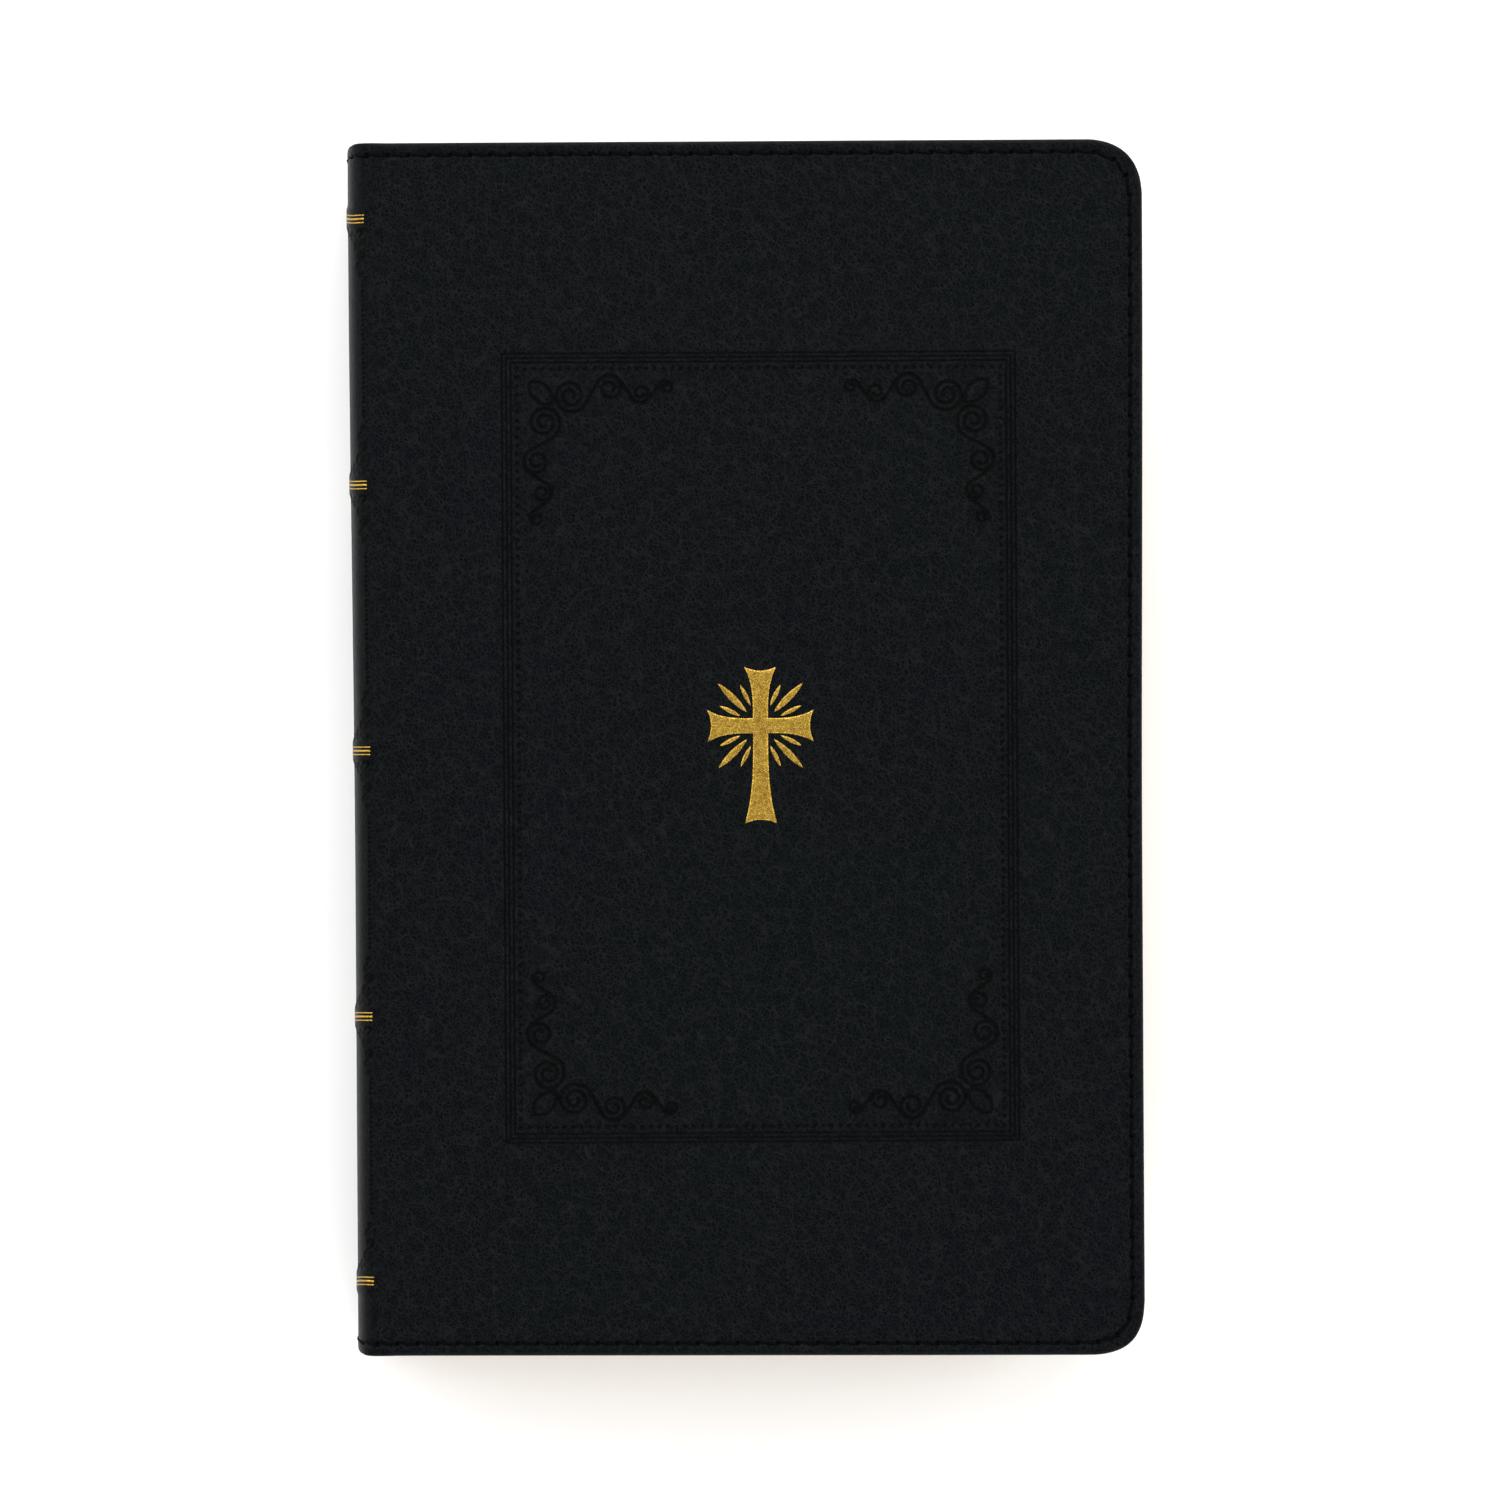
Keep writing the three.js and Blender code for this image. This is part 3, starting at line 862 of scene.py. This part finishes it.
def wrinkles(tree, vector):
    """The height of a fine grain and how worn it is. Its hair-thin wrinkles run mostly down to the right."""
    turned = add_node(tree, "ShaderNodeMapping", vector, Rotation=(0, 0, math.radians(52)))
    drawn = add_node(tree, "ShaderNodeMapping", turned.outputs["Vector"], Scale=(0.6, 1.0, 1.0))
    lengthwise = drawn.outputs["Vector"]
    creases = cell_edges(tree, warp(tree, lengthwise, 1.5, 0.5), 1.95)
    fine_ridge = ramp(tree, creases, [(0.0, 1.0), (0.06, 0.3), (0.16, 0.0)])
    folds = cell_edges(tree, warp(tree, lengthwise, 0.5, 1.8), 0.5)
    long_ridge = ramp(tree, folds, [(0.0, 1.0), (0.03, 0.3), (0.08, 0.0)])
    fine = noise(tree, vector, 2.4, 4, 0.6)
    patchy = ramp(tree, noise(tree, vector, 0.35, 4, 0.7), [(0.38, 0.55), (0.62, 1.0)])
    ridges = maths(tree, "MULTIPLY", maths(tree, "MAXIMUM", fine_ridge, long_ridge), patchy)
    return maths(tree, "MULTIPLY_ADD", ridges, 0.8, maths(tree, "MULTIPLY", fine, 0.45)), ridges


def leather_material():
    material, tree, shader = node_material("black_leather")
    vector = unrolled(tree)
    grain, ridges = wrinkles(tree, vector)
    clouds = noise(tree, vector, 0.012, 3, 0.55)
    base = mix_colour(tree, ramp(tree, clouds, [(0.4, 0.0), (0.6, 1.0)]),
                      (0.0013, 0.0019, 0.0030), (0.0013, 0.0023, 0.0024))
    colour = mix_colour(tree, ridges, base, (0.0082, 0.0090, 0.0096))
    # Darkens the leather almost to black: burnished tooling, and painted shade on groove slopes, in stitch
    # holes and over the spine.
    tooling_and_shade = add_node(tree, "ShaderNodeAttribute", attribute_name="tooling_and_shade").outputs["Fac"]
    colour = mix_colour(tree, tooling_and_shade, colour, (0.0002, 0.0003, 0.0003))
    rough = maths(tree, "MULTIPLY_ADD", noise(tree, vector, 0.6, 3), 0.12, 0.36)
    dress(tree, shader, colour, rough, specular=0.035)
    bump(tree, shader, grain, 0.035)
    return material


def lining_material():
    material, tree, shader = node_material("lining")
    fine = noise(tree, unrolled(tree), 1.8, 5, 0.65)
    dress(tree, shader, mix_colour(tree, fine, (0.010, 0.010, 0.011), (0.018, 0.018, 0.019)), 0.55)
    bump(tree, shader, fine, 0.03)
    return material


def thread_material():
    material, tree, shader = node_material("black_thread")
    twist = bands(tree, in_space(tree), "DIAGONAL", 1.1, 1.5)
    colour = mix_colour(tree, twist, (0.0002, 0.0002, 0.0003), (0.0010, 0.0011, 0.0013))
    dress(tree, shader, colour, 0.6, specular=0.03)
    bump(tree, shader, twist, 0.05)
    return material


def gold_material():
    material, tree, shader = node_material("gold_foil")
    vector = unrolled(tree)
    grain, ridges = wrinkles(tree, vector)
    wear = noise(tree, vector, 0.9, 5, 0.7)
    colour = mix_colour(tree, ramp(tree, wear, [(0.35, 0.0), (0.7, 1.0)]),
                        (0.38, 0.23, 0.030), (0.56, 0.37, 0.078))
    colour = mix_colour(tree, ridges, colour, (0.30, 0.17, 0.020))
    dress(tree, shader, colour, maths(tree, "MULTIPLY_ADD", wear, 0.25, 0.28), metallic=1.0)
    bump(tree, shader, grain, 0.05)
    return material


def gilt_edge_material():
    material, tree, shader = node_material("gilt_page_edge")
    stack = noise(tree, in_space(tree, (0.02, 0.02, 5.0)), 1.0, 4, 0.6)
    lines = ramp(tree, stack, [(0.3, 0.0), (0.7, 1.0)])
    patches = noise(tree, in_space(tree, (0.06, 0.06, 0.25)), 1.0, 4, 0.6)
    colour = mix_colour(tree, lines, (0.42, 0.26, 0.08), (0.66, 0.45, 0.17))
    pale = ramp(tree, patches, [(0.35, 0.0), (0.75, 0.35)])
    colour = mix_colour(tree, pale, colour, (0.70, 0.55, 0.30))
    dress(tree, shader, colour, maths(tree, "MULTIPLY_ADD", patches, 0.2, 0.3), metallic=0.85)
    bump(tree, shader, lines, 0.06)
    return material


def paper_material(name, dark, light, fibre=0.02):
    material, tree, shader = node_material(name)
    fibres = noise(tree, in_space(tree), 1.5, 6, 0.7)
    dress(tree, shader, mix_colour(tree, fibres, dark, light), 0.85)
    bump(tree, shader, fibres, fibre)
    return material


def woven_material(name, dark, light, pitch):
    material, tree, shader = node_material(name)
    threads = [bands(tree, in_space(tree), direction, 0.314 / pitch, 0.6) for direction in ("Y", "Z")]
    height = maths(tree, "MAXIMUM", *threads)
    dress(tree, shader, mix_colour(tree, height, dark, light), 0.9)
    bump(tree, shader, height, 0.1)
    return material


LEATHER_SKIN = leather_material()
LINING = lining_material()
THREAD = thread_material()
GOLD = gold_material()
GILT = gilt_edge_material()
PAGE = paper_material("page_paper", (0.58, 0.54, 0.45), (0.66, 0.62, 0.53))
ENDPAPER = paper_material("endpaper", (0.010, 0.010, 0.012), (0.017, 0.017, 0.019), 0.03)
BOARD = paper_material("grey_board", (0.20, 0.18, 0.15), (0.33, 0.30, 0.26), 0.08)
KRAFT = paper_material("kraft_liner", (0.36, 0.24, 0.12), (0.50, 0.36, 0.20), 0.05)
GLUE = paper_material("dry_glue", (0.60, 0.52, 0.34), (0.76, 0.70, 0.52), 0.06)
MULL = woven_material("mull_cloth", (0.45, 0.42, 0.34), (0.80, 0.76, 0.66), 0.9)
BAND_GOLD = woven_material("headband_gold", (0.34, 0.20, 0.05), (0.62, 0.42, 0.13), 0.35)
BAND_BLACK = woven_material("headband_black", (0.004, 0.004, 0.004), (0.016, 0.016, 0.017), 0.35)


# ---------------------------------------------------------------- leather case
def blend_front(obj):
    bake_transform(obj)


def blend_back(obj):
    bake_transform(obj)


def make_front_case():
    relief = Relief(FRONT_U)
    holes = stitch_holes(FRONT_U, 0.0)
    spine_relief(relief)
    cover_frame(relief)
    edge_relief(relief, holes, FRONT_JOINT)
    case = case_panel("spine_and_front_leather", relief, front_s, FRONT_JOINT)
    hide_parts("spine_leather", "front_cover_leather")
    blend_front(case)
    stitches = new_object("front_edge_stitches", *stitch_row(holes, front_s, -0.34, -0.01), [THREAD])
    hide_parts("front_cover_thread", "spine_head_thread", "spine_tail_thread")
    blend_front(stitches)


def make_back_case():
    relief = Relief(PANEL_WIDTH)
    holes = stitch_holes(PANEL_WIDTH, STITCH_START)
    edge_relief(relief, holes, BACK_JOINT)
    case = case_panel("back_leather", relief, back_s, BACK_JOINT)
    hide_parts("back_cover_leather")
    blend_back(case)
    stitches = new_object("back_edge_stitches", *stitch_row(holes, back_s, -0.30, -0.24), [THREAD])
    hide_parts("back_cover_thread")
    blend_back(stitches)


# ---------------------------------------------------------------- flat sheets
BENDING_WIDTH = 26
BENDING_STEP = 0.5
LEAF_THICKNESS = 0.17
LEAF_WAVE = 0.02


def sheet_solid(name, left, right, half_height, radius, low, high, material, lift=None):
    """A thin closed sheet between two heights, with close columns by its left edge."""
    near = np.arange(left, left + BENDING_WIDTH, BENDING_STEP)
    far = np.linspace(left + BENDING_WIDTH, right - radius, 30)[1:]
    quarter = radius * np.sin(np.linspace(0, math.pi / 2, 11))[1:]
    columns = np.concatenate([near, [left + BENDING_WIDTH], far, right - radius + quarter])
    curve = half_height - radius + quarter
    straight = np.linspace(-(half_height - radius), half_height - radius, 41)
    rows = np.concatenate([-curve[::-1], straight, curve])
    x, y = round_corners(*np.meshgrid(columns, rows, indexing="ij"), right, half_height, radius)
    wave = np.zeros_like(x) if lift is None else lift(x, y)
    bottom = np.stack([x, y, low + wave], -1).reshape(-1, 3)
    top = np.stack([x, y, high + wave], -1).reshape(-1, 3)
    count_i, count_j = x.shape
    faces = grid_faces(count_i, count_j) + grid_faces(count_i, count_j, count_i * count_j, flip=True)
    index = np.arange(count_i * count_j).reshape(count_i, count_j)
    loop = np.concatenate([index[:, 0], index[-1, 1:], index[-2::-1, -1], index[0, -2:0:-1]])
    other = loop + count_i * count_j
    following = np.roll(loop, -1)
    faces += np.stack([loop, following, np.roll(other, -1), other], 1).tolist()
    points = np.concatenate([bottom, top])
    obj = new_object(name, points, faces, [material], uv=points[:, :2])
    face_outwards(obj)
    return obj


def leaf_wave(phase):
    """A function of place for the slow wave of one leaf."""
    def lift(x, y):
        return LEAF_WAVE * np.sin(y / 38.0 + phase) * smoothstep(-40, 60, x)
    return lift


def make_leaves():
    """The single leaves by each cover. Their inner margins are the guards that hold them."""
    names = ["front_flyleaf", "presentation_leaf", "title_leaf", "contents_leaf", "first_text_leaf",
             "back_flyleaf"]
    guards = {"front_flyleaf": ["front_leaf_guard"], "back_flyleaf": ["back_leaf_guard"]}
    for order, name in enumerate(names):
        low, high = cad_box(name)
        middle = (low[2] + high[2]) / 2
        black = name.endswith("flyleaf")
        leaf = sheet_solid(
            f"{name}_sheet", block_back_x(middle) + 0.15, high[0], high[1], PAGE_CORNER,
            middle - LEAF_THICKNESS / 2, middle + LEAF_THICKNESS / 2, ENDPAPER if black else PAGE,
            lift=leaf_wave(order),
        )
        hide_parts(name, *guards.get(name, []))
        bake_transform(leaf)


def make_inner_faces():
    """The lining sewn to each cover, with its own row of stitches, and the pastedown glued over it."""
    for side, blend in (("front", blend_front), ("back", blend_back)):
        low, high = cad_box(f"{side}_cover_lining")
        face_z, out = (low[2], -1) if side == "front" else (high[2], 1)
        lining = sheet_solid(f"{side}_lining", JOINT_X + 0.25, high[0] + 0.1, high[1] + 0.1,
                             CORNER_RADIUS - 0.8, low[2] + 0.02, high[2] - 0.02, LINING)
        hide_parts(f"{side}_cover_lining")
        blend(lining)
        low, high = cad_box(f"{side}_pastedown")
        sheet = sheet_solid(f"{side}_pastedown_sheet", JOINT_X + 0.45, high[0], high[1],
                            CORNER_RADIUS - 4.5, low[2] + 0.01, high[2] - 0.01, ENDPAPER)
        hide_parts(f"{side}_pastedown")
        blend(sheet)
        stitches = new_object(f"{side}_inner_stitches", *inner_stitch_row(face_z, out), [THREAD])
        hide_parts(f"{side}_bobbin_thread")
        blend(stitches)


# ---------------------------------------------------------------- text block
def block_back_x(z):
    """Where the rounded back of the block lies at a height."""
    return SPINE_CENTRE_X - math.sqrt(BLOCK_RADIUS**2 - (z - MID_Z) ** 2)


def section_outline():
    """A section's outline from above, from its back at the head round to the tail, and which way is out."""
    half = BLOCK_HALF_HEIGHT - 0.02
    right, top = LEAF_WIDTH - PAGE_CORNER, half - PAGE_CORNER
    straight = np.arange(0, right, 2.5)
    arc = np.linspace(0, math.pi / 2, 15)
    outline = [(x, half) for x in straight]
    outline += [(right + PAGE_CORNER * math.sin(a), top + PAGE_CORNER * math.cos(a)) for a in arc]
    outline += [(LEAF_WIDTH, y) for y in np.linspace(top, -top, 80)[1:-1]]
    outline += [(right + PAGE_CORNER * math.cos(a), -top - PAGE_CORNER * math.sin(a)) for a in arc]
    outline += [(x, -half) for x in straight[::-1]]
    outline = np.array(outline)
    centre = np.stack([np.full(len(outline), right), np.clip(outline[:, 1], -top, top)], 1)
    direction = outline - centre
    direction /= np.maximum(np.linalg.norm(direction, axis=1), 1e-6)[:, None]
    sideways = np.stack([np.zeros(len(outline)), np.sign(outline[:, 1])], 1)
    return outline, np.where(outline[:, :1] > right, direction, sideways)


def make_sections(random):
    """Sections of pages with slightly uneven gilt edges and cream faces."""
    outline, normal = section_outline()
    along = np.arange(len(outline)) / len(outline)
    for number in range(1, 17):
        node = f"section_{number:02d}"
        low, high = cad_box(node)
        heights = np.linspace(low[2], high[2], 7)
        rows = []
        section_shift = random.uniform(-0.05, 0.03)
        for row, z in enumerate(heights):
            t = row / (len(heights) - 1)
            bulge = 0.07 * math.sin(math.pi * t) - 0.07 + section_shift + random.uniform(-0.02, 0.02)
            ripple = 0.02 * np.sin(along * 2 * math.pi * random.integers(3, 9) + random.uniform(0, 6))
            xy = outline + normal * (bulge + ripple)[:, None]
            rows.append(np.stack([xy[:, 0] + block_back_x(z), xy[:, 1], np.full(len(xy), z)], 1))
        faces = ring_faces(len(rows), len(outline))
        edge_faces = len(faces) - 2
        slots = [1] * edge_faces + [0, 0]
        section = new_object(f"{node}_pages", np.concatenate(rows), faces, [PAGE, GILT], slots)
        face_outwards(section)
        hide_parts(node)
        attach(section, "book_block")


BAND_WRAPS = 54
RINGS_PER_WRAP = 4
BAND_SIDES = 12


def make_headbands():
    """A cord wound with two colours of thread, along the rounded back of the block."""
    for node in ("headband", "tailband"):
        low, high = cad_box(node)
        y = (low[1] + high[1]) / 2
        radius = (high[1] - low[1]) / 2
        path_radius = SPINE_CENTRE_X - low[0] - radius
        reach = (high[2] - MID_Z - 0.35) / path_radius
        turn = np.linspace(-reach, reach, BAND_WRAPS * RINGS_PER_WRAP + 1)
        centres = np.stack([SPINE_CENTRE_X - path_radius * np.cos(turn), np.full(len(turn), y),
                            MID_Z + path_radius * np.sin(turn)], 1)
        phase = (np.arange(len(turn)) % RINGS_PER_WRAP) / RINGS_PER_WRAP
        thick = radius * (0.93 + 0.06 * np.abs(np.sin(math.pi * phase)))
        vertices, faces = tube(centres, thick, BAND_SIDES, np.tile((0.0, 1.0, 0.0), (len(turn), 1)))
        wrap = np.arange(len(faces) - 2) // BAND_SIDES // RINGS_PER_WRAP
        colours = [*(wrap % 3 == 0), 0, 0]
        band = new_object(f"{node}_woven", vertices, faces, [BAND_GOLD, BAND_BLACK], colours)
        face_outwards(band)
        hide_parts(node)
        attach(band, "book_block")


# ---------------------------------------------------------------- gold foil
FOIL_GRID = 0.28
FOIL_CLEARANCE = 0.12
FOIL_SHOULDER = 0.45
FOIL_LIFT = 0.012
FOIL_PUFF = 0.06
FOIL_ROOT = -0.08


def cross_outline(up, down, across, waist, end, dish):
    """A Latin cross with flared, dished arms, as a closed list of points going round it."""
    points = []
    t = np.linspace(0, 1, 10)
    width = waist + (end - waist) * t**3.2
    for quarter, length in enumerate((up, across, down, across)):
        angle = -quarter * math.pi / 2
        along = np.array((-math.sin(angle), math.cos(angle)))
        out = np.array((math.cos(angle), math.sin(angle)))
        side = list(zip(waist + (length - waist) * t, width))
        points += [along * a - out * w for a, w in side]
        for k in np.linspace(-0.8, 0.8, 9):
            points.append(along * (length - dish * (1 - k * k)) + out * end * k)
        points += [along * a + out * w for a, w in side[::-1]]
    points = np.array(points)
    keep = np.linalg.norm(points - np.roll(points, 1, axis=0), axis=1) > 0.02
    return points[keep]


def ray_outline(angle, start, length, width):
    """A slim lozenge that points away from the crossing."""
    t = np.linspace(0, 1, 12)
    half = width * np.sin(math.pi * t) ** 0.8
    ray = np.concatenate([np.stack([start + length * t, half], 1),
                          np.stack([start + length * t[::-1], -half[::-1]], 1)[1:-1]])
    c, s = math.cos(angle), math.sin(angle)
    return ray @ np.array([[c, s], [-s, c]])


def inside_outline(outline, points):
    """Which points lie inside a closed outline."""
    x0, y0 = outline.T
    x1, y1 = np.roll(outline, -1, axis=0).T
    px, py = points[:, :1], points[:, 1:]
    spans = (y0 > py) != (y1 > py)
    rise = np.where(y1 == y0, 1, y1 - y0)
    left = px < (x1 - x0) * (py - y0) / rise + x0
    return (spans & left).sum(1) % 2 == 1


def distance_to_outline(outline, points):
    start, along = outline, np.roll(outline, -1, axis=0) - outline
    offset = points[:, None, :] - start[None]
    t = np.clip((offset * along).sum(-1) / (along * along).sum(-1), 0, 1)
    return np.linalg.norm(offset - along * t[..., None], axis=-1).min(1)


def foil_plate(outline, centre_u, centre_v):
    """A thin puffed plate of foil over an outline on the front cover."""
    ahead = np.roll(outline, -1, axis=0)
    if np.sum(outline[:, 0] * ahead[:, 1] - ahead[:, 0] * outline[:, 1]) < 0:
        outline = outline[::-1]
    low, high = outline.min(0), outline.max(0)
    columns, rows = [np.arange(low[k], high[k], FOIL_GRID) for k in (0, 1)]
    grid = np.stack(np.meshgrid(columns, rows), -1).reshape(-1, 2)
    grid = grid[inside_outline(outline, grid)]
    grid = grid[distance_to_outline(outline, grid) > FOIL_CLEARANCE]
    count = len(outline)
    flat = np.concatenate([outline, grid])
    rim = [(k, (k + 1) % count) for k in range(count)]
    cut = delaunay_2d_cdt([Vector(p) for p in flat], rim, [tuple(range(count))], 1, 1e-6)
    flat, triangles = np.array([tuple(p) for p in cut[0]]), cut[2]
    depth = np.minimum(distance_to_outline(outline, flat), FOIL_SHOULDER)
    height = FOIL_LIFT + FOIL_PUFF * np.sin(depth / FOIL_SHOULDER * math.pi / 2)
    u, v = centre_u + flat[:, 0], centre_v + flat[:, 1]
    total = len(flat)
    points = np.concatenate([on_case(front_s(u), v, height), on_case(front_s(u), v, FOIL_ROOT)])
    faces = [tuple(t) for t in triangles] + [tuple(k + total for k in t[::-1]) for t in triangles]
    edges = set()
    for t in triangles:
        edges |= {(t[k], t[(k + 1) % len(t)]) for k in range(len(t))}
    faces += [(b, a, a + total, b + total) for a, b in edges if (b, a) not in edges]
    uv = np.stack([front_s(u), v], 1)
    return points, faces, np.concatenate([uv, uv])


def make_cover_device():
    """A plain cross with rays, in gold, at the middle of the front cover."""
    crossing_v = DEVICE_Y + 3.4
    outlines = [cross_outline(up=10.6, down=17.6, across=9.6, waist=1.35, end=2.9, dish=0.7)]
    for quarter in range(4):
        diagonal = math.pi / 4 + quarter * math.pi / 2
        outlines.append(ray_outline(diagonal, start=3.4, length=7.4, width=0.62))
        for side in (-1, 1):
            outlines.append(ray_outline(diagonal + side * 0.33, start=4.0, length=4.2, width=0.38))
    parts, flats = [], []
    for outline in outlines:
        vertices, faces, flat = foil_plate(outline, FRAME_CENTRE_U, crossing_v)
        parts.append((vertices, faces))
        flats.append(flat)
    vertices, faces = merge(parts)
    device = new_object("cover_device_foil", vertices, faces, [GOLD], uv=np.concatenate(flats))
    face_outwards(device)
    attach(device, "front_cover")


def make_spine_lines():
    """Three gold lines over each raised band."""
    reach = u_from_crest(GOLD_LINE_PLAN) - SPINE_MIDDLE_U
    along = np.linspace(SPINE_MIDDLE_U - reach, SPINE_MIDDLE_U + reach, 110)
    parts, flats = [], []
    for band in range(-2, 3):
        for offset, half_width in GOLD_LINES:
            v = band * BAND_PITCH + offset + half_width * np.array((-1, -1, 0, 1, 1))
            height = BAND_RISE + np.array((-0.05, 0.015, 0.04, 0.015, -0.05))
            rows, flat = [], []
            for u in along:
                rows.append(on_case(front_s(u), v, height))
                flat.append(np.stack([np.full(len(v), front_s(u)), v], 1))
            parts.append((np.concatenate(rows), ring_faces(len(rows), len(v))))
            flats.append(np.concatenate(flat))
    vertices, faces = merge(parts)
    lines = new_object("spine_band_gold_lines", vertices, faces, [GOLD], uv=np.concatenate(flats))
    face_outwards(lines)
    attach(lines, "book_block")


# ---------------------------------------------------------------- CAD nodes that stay
def finish_cad_nodes():
    kept = {"spine_liner": KRAFT, "spine_glue": GLUE, "spine_mull": MULL}
    boards = ["front_cover_board", "back_cover_board", "spine_stiffener"]
    boards += [f"raised_band_{k}" for k in range(1, 6)]
    kept.update({node: BOARD for node in boards})
    for node, material in kept.items():
        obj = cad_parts[node]
        obj.data.materials.clear()
        obj.data.materials.append(material)


# ---------------------------------------------------------------- stage
def make_stage():
    half = 2500
    corners = [(-half, -half, 0), (half, -half, 0), (half, half, 0), (-half, half, 0)]
    floor = new_object("floor", corners, [(0, 1, 2, 3)], [])
    material, _, shader = node_material("pale_floor")
    shader.inputs["Base Color"].default_value = (0.93, 0.93, 0.93, 1)
    shader.inputs["Roughness"].default_value = 0.9
    shader.inputs["Specular IOR Level"].default_value = 0.1
    floor.data.materials.append(material)


def area_light(name, location, size, power):
    light = bpy.data.lights.new(name, "AREA")
    light.shape = "RECTANGLE"
    light.size, light.size_y = size
    light.energy = power
    obj = bpy.data.objects.new(name, light)
    obj.location = location
    obj.rotation_mode = "QUATERNION"
    obj.rotation_quaternion = (-Vector(location)).to_track_quat("-Z", "Y")
    bpy.context.scene.collection.objects.link(obj)


def make_lights():
    world = bpy.data.worlds.new("studio")
    bpy.context.scene.world = world
    world.use_nodes = True
    background = world.node_tree.nodes["Background"]
    background.inputs["Color"].default_value = (1, 1, 1, 1)
    background.inputs["Strength"].default_value = 0.09
    area_light("left_softbox", (-1.8, 0.5, 1.1), (2.2, 2.2), 52)
    area_light("right_softbox", (1.9, 0.2, 1.1), (2.2, 2.2), 46)
    area_light("head_softbox", (0.1, 2.0, 1.1), (2.2, 2.0), 70)
    area_light("tail_softbox", (0.0, -2.0, 1.1), (2.2, 2.0), 40)
    area_light("overhead_sheet", (0.0, 0.1, 2.0), (1.1, 1.1), 2.2)
    bpy.context.scene.view_settings.view_transform = "Standard"
    bpy.context.scene.view_settings.look = "None"


def make_camera():
    data = bpy.data.cameras.new("camera")
    data.lens = 160.35
    data.sensor_width = 36
    data.clip_start, data.clip_end = 0.05, 10
    camera = bpy.data.objects.new("camera", data)
    camera.location = (-0.0027, 0.0071, 1.2294)
    camera.rotation_euler = (math.radians(-0.350), math.radians(-0.167), math.radians(-0.342))
    bpy.context.scene.collection.objects.link(camera)
    bpy.context.scene.camera = camera


make_stage()
make_lights()
make_camera()
finish_cad_nodes()
make_front_case()
make_back_case()
make_inner_faces()
make_sections(np.random.default_rng(7))
make_leaves()
make_headbands()
make_cover_device()
make_spine_lines()
